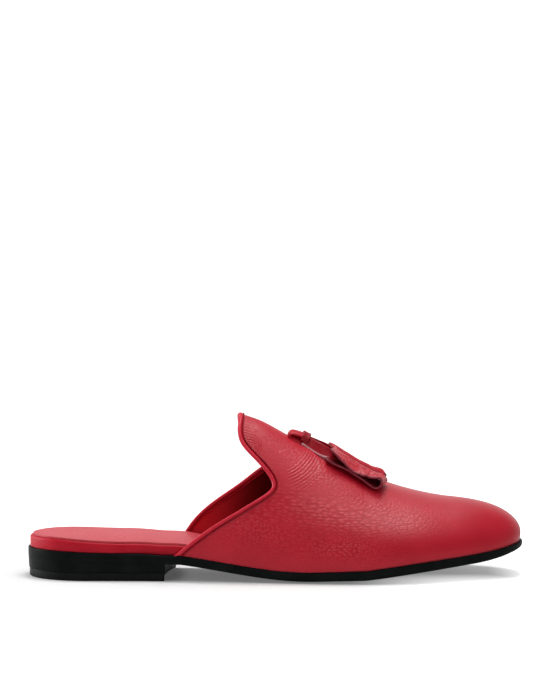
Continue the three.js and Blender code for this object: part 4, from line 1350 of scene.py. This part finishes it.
# Its darker reds are painted shade, as on the keeper
STRAP_LEATHER = smooth_leather_finish(
    "strap leather",
    RED_DEEP,
    RED_SHADED_MID,
    RED_SHADED_LIGHT,
    roughness=(0.38, 0.5),
    pore_depth=0.09,
    gloss=0.14,
)
lay_colour(STRAP_LEATHER, "raw", RAW_PINK)
raw_edge = ramp(np.linspace(0, 1, STRAP_STEPS), RAW_NONE, RAW_TO)
for name, side in SIDES.items():
    strap = sheet_skin(strap_middle(side), STRAP_THICKNESS, 0.0, raw_edge)
    add_piece(f"strap_{name}", [strap], [STRAP_LEATHER], "red_smooth", f"tassel_strap_{name}")


# Studio
# A white floor that glows further out, so that it runs into the white sky. Near the shoe its glow is
# painted light that lifts the shade under it, round the toe painted light that fades the shoe's shadow,
# and it is cut down to a painted shadow in the corner in front of the heel's breast. Four soft lights:
# overhead, above the front, weakly from the front left, and low behind the heel as a rim. The camera looks
# at the lateral side from a little above, as a shop photographs a shoe.
FLOOR_RADIUS = 9.0
FLOOR_COLUMNS, FLOOR_ROWS = 96, 24
FLOOR_WHITE = (0.56, 0.56, 0.56, 1)
FLOOR_BOUNCE = (0.78, 0.78, 0.78, 1)
NO_GLOW = (0.0, 0.0, 0.0, 1)
# The glow: painted light that lifts the shade on the floor near the shoe, and white further out
GLOW_FROM, GLOW_FULL = 35.0, 300.0
GLOW_NEAR, GLOW_FAR = (0.148, 0.148, 0.148, 1), (0.9, 0.9, 0.9, 1)
GLOW_STRETCH = (0.6, 1.0, 1.0)
# Painted shadow in the corner in front of the heel's breast, where the near glow is cut down
CORNER_STRETCH = (1.0, 0.2, 1.0)  # the dark corner in front of the heel's breast
CORNER_FROM, CORNER_TO, CORNER_GLOW = 5.0, 15.0, 0.5
GLOW_MIDDLE = (HEEL_BREAST - ORIGIN[0]) * GLOW_STRETCH[0]
# Painted light that fades the shoe's shadow in front of and past the toe
TOE_GLOW_FROM, TOE_GLOW_FULL = 30.0, 120.0  # along the floor, in front of the toe
TOE_GLOW_BACK, TOE_GLOW_FRONT = 16.0, -44.0  # across it
TIP_GLOW_FROM, TIP_GLOW_FULL = 112.0, 166.0  # past the tip
SKY_LOW, SKY_HIGH, BACKDROP = 0.3, 0.2, 0.7
BACKDROP_FROM, BACKDROP_FULL = 0.2, 0.8  # towards the back
BACKDROP_FOOT, BACKDROP_TOP = 0.2, 0.7  # up from the horizon
PHOTO_WIDTH, PHOTO_HEIGHT = 550, 700
SHOE_PIXEL = (275.5, 541.0)  # where the point that the camera is aimed at shows
SHOE_POINT = np.array([149.0, 0.0, 20.0])
PIXELS_PER_MM = 1.655
CAMERA_DISTANCE, CAMERA_ELEVATION = 1900.0, math.radians(7)
SENSOR = 36.0

LIGHTS = (  # name, place, point aimed at, width, depth, power
    ("overhead", (0.05, 0.2, 1.05), (0.02, 0.0, 0.0), 0.5, 0.4, 8.5),
    ("front top", (0.1, -0.4, 1.1), (0.02, 0.0, 0.03), 1.3, 0.7, 5.8),
    ("front", (-0.7, -1.3, 0.6), (0.0, 0.0, 0.03), 0.6, 0.6, 1.0),
    ("heel rim", (-1.1, 0.35, 0.35), (-0.14, 0.0, 0.02), 0.3, 0.5, 10.0),
)


def floor_mesh():
    """Round floor: rings whose radius grows with the square of their number."""
    radius = (np.linspace(0, 1, FLOOR_ROWS) ** 2 * FLOOR_RADIUS)[:, None]
    turn = np.linspace(0, 2 * np.pi, FLOOR_COLUMNS, endpoint=False)
    points = np.stack(np.broadcast_arrays(radius * np.cos(turn), radius * np.sin(turn), 0 * radius), -1)
    mesh = bpy.data.meshes.new("floor")
    mesh.from_pydata(points.reshape(-1, 3), [], grid_quads(FLOOR_ROWS, FLOOR_COLUMNS, True)[:, ::-1])
    return mesh


def floor_finish():
    """Matt white board that the camera sees glow with its distance from the shoe and round the toe, less in
    the dark corner between the heel's breast and the sole's waist. The glow near the shoe and round the toe
    is painted light that lifts its shade and fades its shadow, and the corner's darkening is a painted
    shadow."""
    finish, tree, shader = new_finish(
        "white board", Roughness=0.9, Specular_IOR_Level=0.0, Emission_Strength=1.0
    )

    def distance(stretch, along):
        ends = {0: millimetres(tree, stretch), 1: (along, 0.0, 0.0)}
        return add_node(tree, "VectorMath", ends, operation="DISTANCE").outputs["Value"]

    seen = add_node(tree, "LightPath").outputs["Is Camera Ray"]
    tree.links.new(tint(tree, seen, FLOOR_BOUNCE, FLOOR_WHITE), shader.inputs["Base Color"])
    glow = rescale(tree, distance(GLOW_STRETCH, GLOW_MIDDLE), GLOW_FROM, GLOW_FULL)
    from_corner = distance(CORNER_STRETCH, HEEL_BREAST - ORIGIN[0])
    open_floor = rescale(tree, from_corner, CORNER_FROM, CORNER_TO, CORNER_GLOW, 1.0)
    near = tint(tree, open_floor, NO_GLOW, GLOW_NEAR)
    spot = add_node(tree, "SeparateXYZ", {0: millimetres(tree)}).outputs
    ahead = rescale(tree, spot["X"], TOE_GLOW_FROM, TOE_GLOW_FULL)
    beside = rescale(tree, spot["Y"], TOE_GLOW_BACK, TOE_GLOW_FRONT)
    toe_glow = calculate(tree, "MULTIPLY", ahead, beside)
    tip_glow = rescale(tree, spot["X"], TIP_GLOW_FROM, TIP_GLOW_FULL)
    glow = calculate(tree, "MAXIMUM", glow, calculate(tree, "MAXIMUM", toe_glow, tip_glow))
    shown = tint(tree, seen, NO_GLOW, tint(tree, glow, near, GLOW_FAR))
    tree.links.new(shown, shader.inputs["Emission Color"])
    return finish


floor_board = floor_mesh()
floor_board.materials.append(floor_finish())
floor = bpy.data.objects.new("floor", floor_board)
bpy.context.scene.collection.objects.link(floor)


def white_sky():
    """Sky that the camera sees as white. What lights the shoe is dim at the front and overhead, and
    bright low down behind it, where the backdrop stands."""
    sky = bpy.data.worlds.new("white sky")
    sky.use_nodes = True
    tree = sky.node_tree
    towards = add_node(tree, "SeparateXYZ", {0: add_node(tree, "TexCoord").outputs["Generated"]}).outputs
    above = rescale(tree, towards["Z"], 0.0, 1.0, SKY_LOW, SKY_HIGH)
    behind = rescale(tree, towards["Y"], BACKDROP_FROM, BACKDROP_FULL)
    low = rescale(tree, towards["Z"], BACKDROP_TOP, BACKDROP_FOOT, 0.0, BACKDROP)
    light = calculate(tree, "ADD", above, calculate(tree, "MULTIPLY", behind, low))
    seen = add_node(tree, "LightPath").outputs["Is Camera Ray"]
    strength = add_node(tree, "Mix", {0: seen, 2: light, 3: 1.0}).outputs[0]
    tree.links.new(strength, tree.nodes["Background"].inputs["Strength"])
    tree.nodes["Background"].inputs["Color"].default_value = (1, 1, 1, 1)
    return sky


bpy.context.scene.world = white_sky()


def add_light(name, place, aim, width, depth, power):
    """Soft rectangular light at place, turned towards aim."""
    lamp = bpy.data.lights.new(name, "AREA")
    lamp.shape = "RECTANGLE"
    lamp.size, lamp.size_y = width, depth
    lamp.energy = power
    light = bpy.data.objects.new(name, lamp)
    light.location = place
    light.rotation_euler = (Vector(aim) - Vector(place)).to_track_quat("-Z", "Y").to_euler()
    bpy.context.scene.collection.objects.link(light)


for row in LIGHTS:
    add_light(*row)

lens = bpy.data.cameras.new("camera")
lens.sensor_width = SENSOR
focus = PIXELS_PER_MM * CAMERA_DISTANCE  # focal length in pixels
lens.lens = focus * SENSOR / PHOTO_HEIGHT
camera = bpy.data.objects.new("camera", lens)
back = np.array([0.0, -math.cos(CAMERA_ELEVATION), math.sin(CAMERA_ELEVATION)])
camera.location = (SHOE_POINT - ORIGIN + back * CAMERA_DISTANCE) * MM
look_up = math.atan((SHOE_PIXEL[1] - PHOTO_HEIGHT / 2) / focus)
look_left = math.atan((SHOE_PIXEL[0] - PHOTO_WIDTH / 2) / focus)
camera.rotation_euler = (math.pi / 2 - CAMERA_ELEVATION + look_up, 0, look_left)
bpy.context.scene.collection.objects.link(camera)
bpy.context.scene.camera = camera
bpy.context.scene.view_settings.view_transform = "Standard"
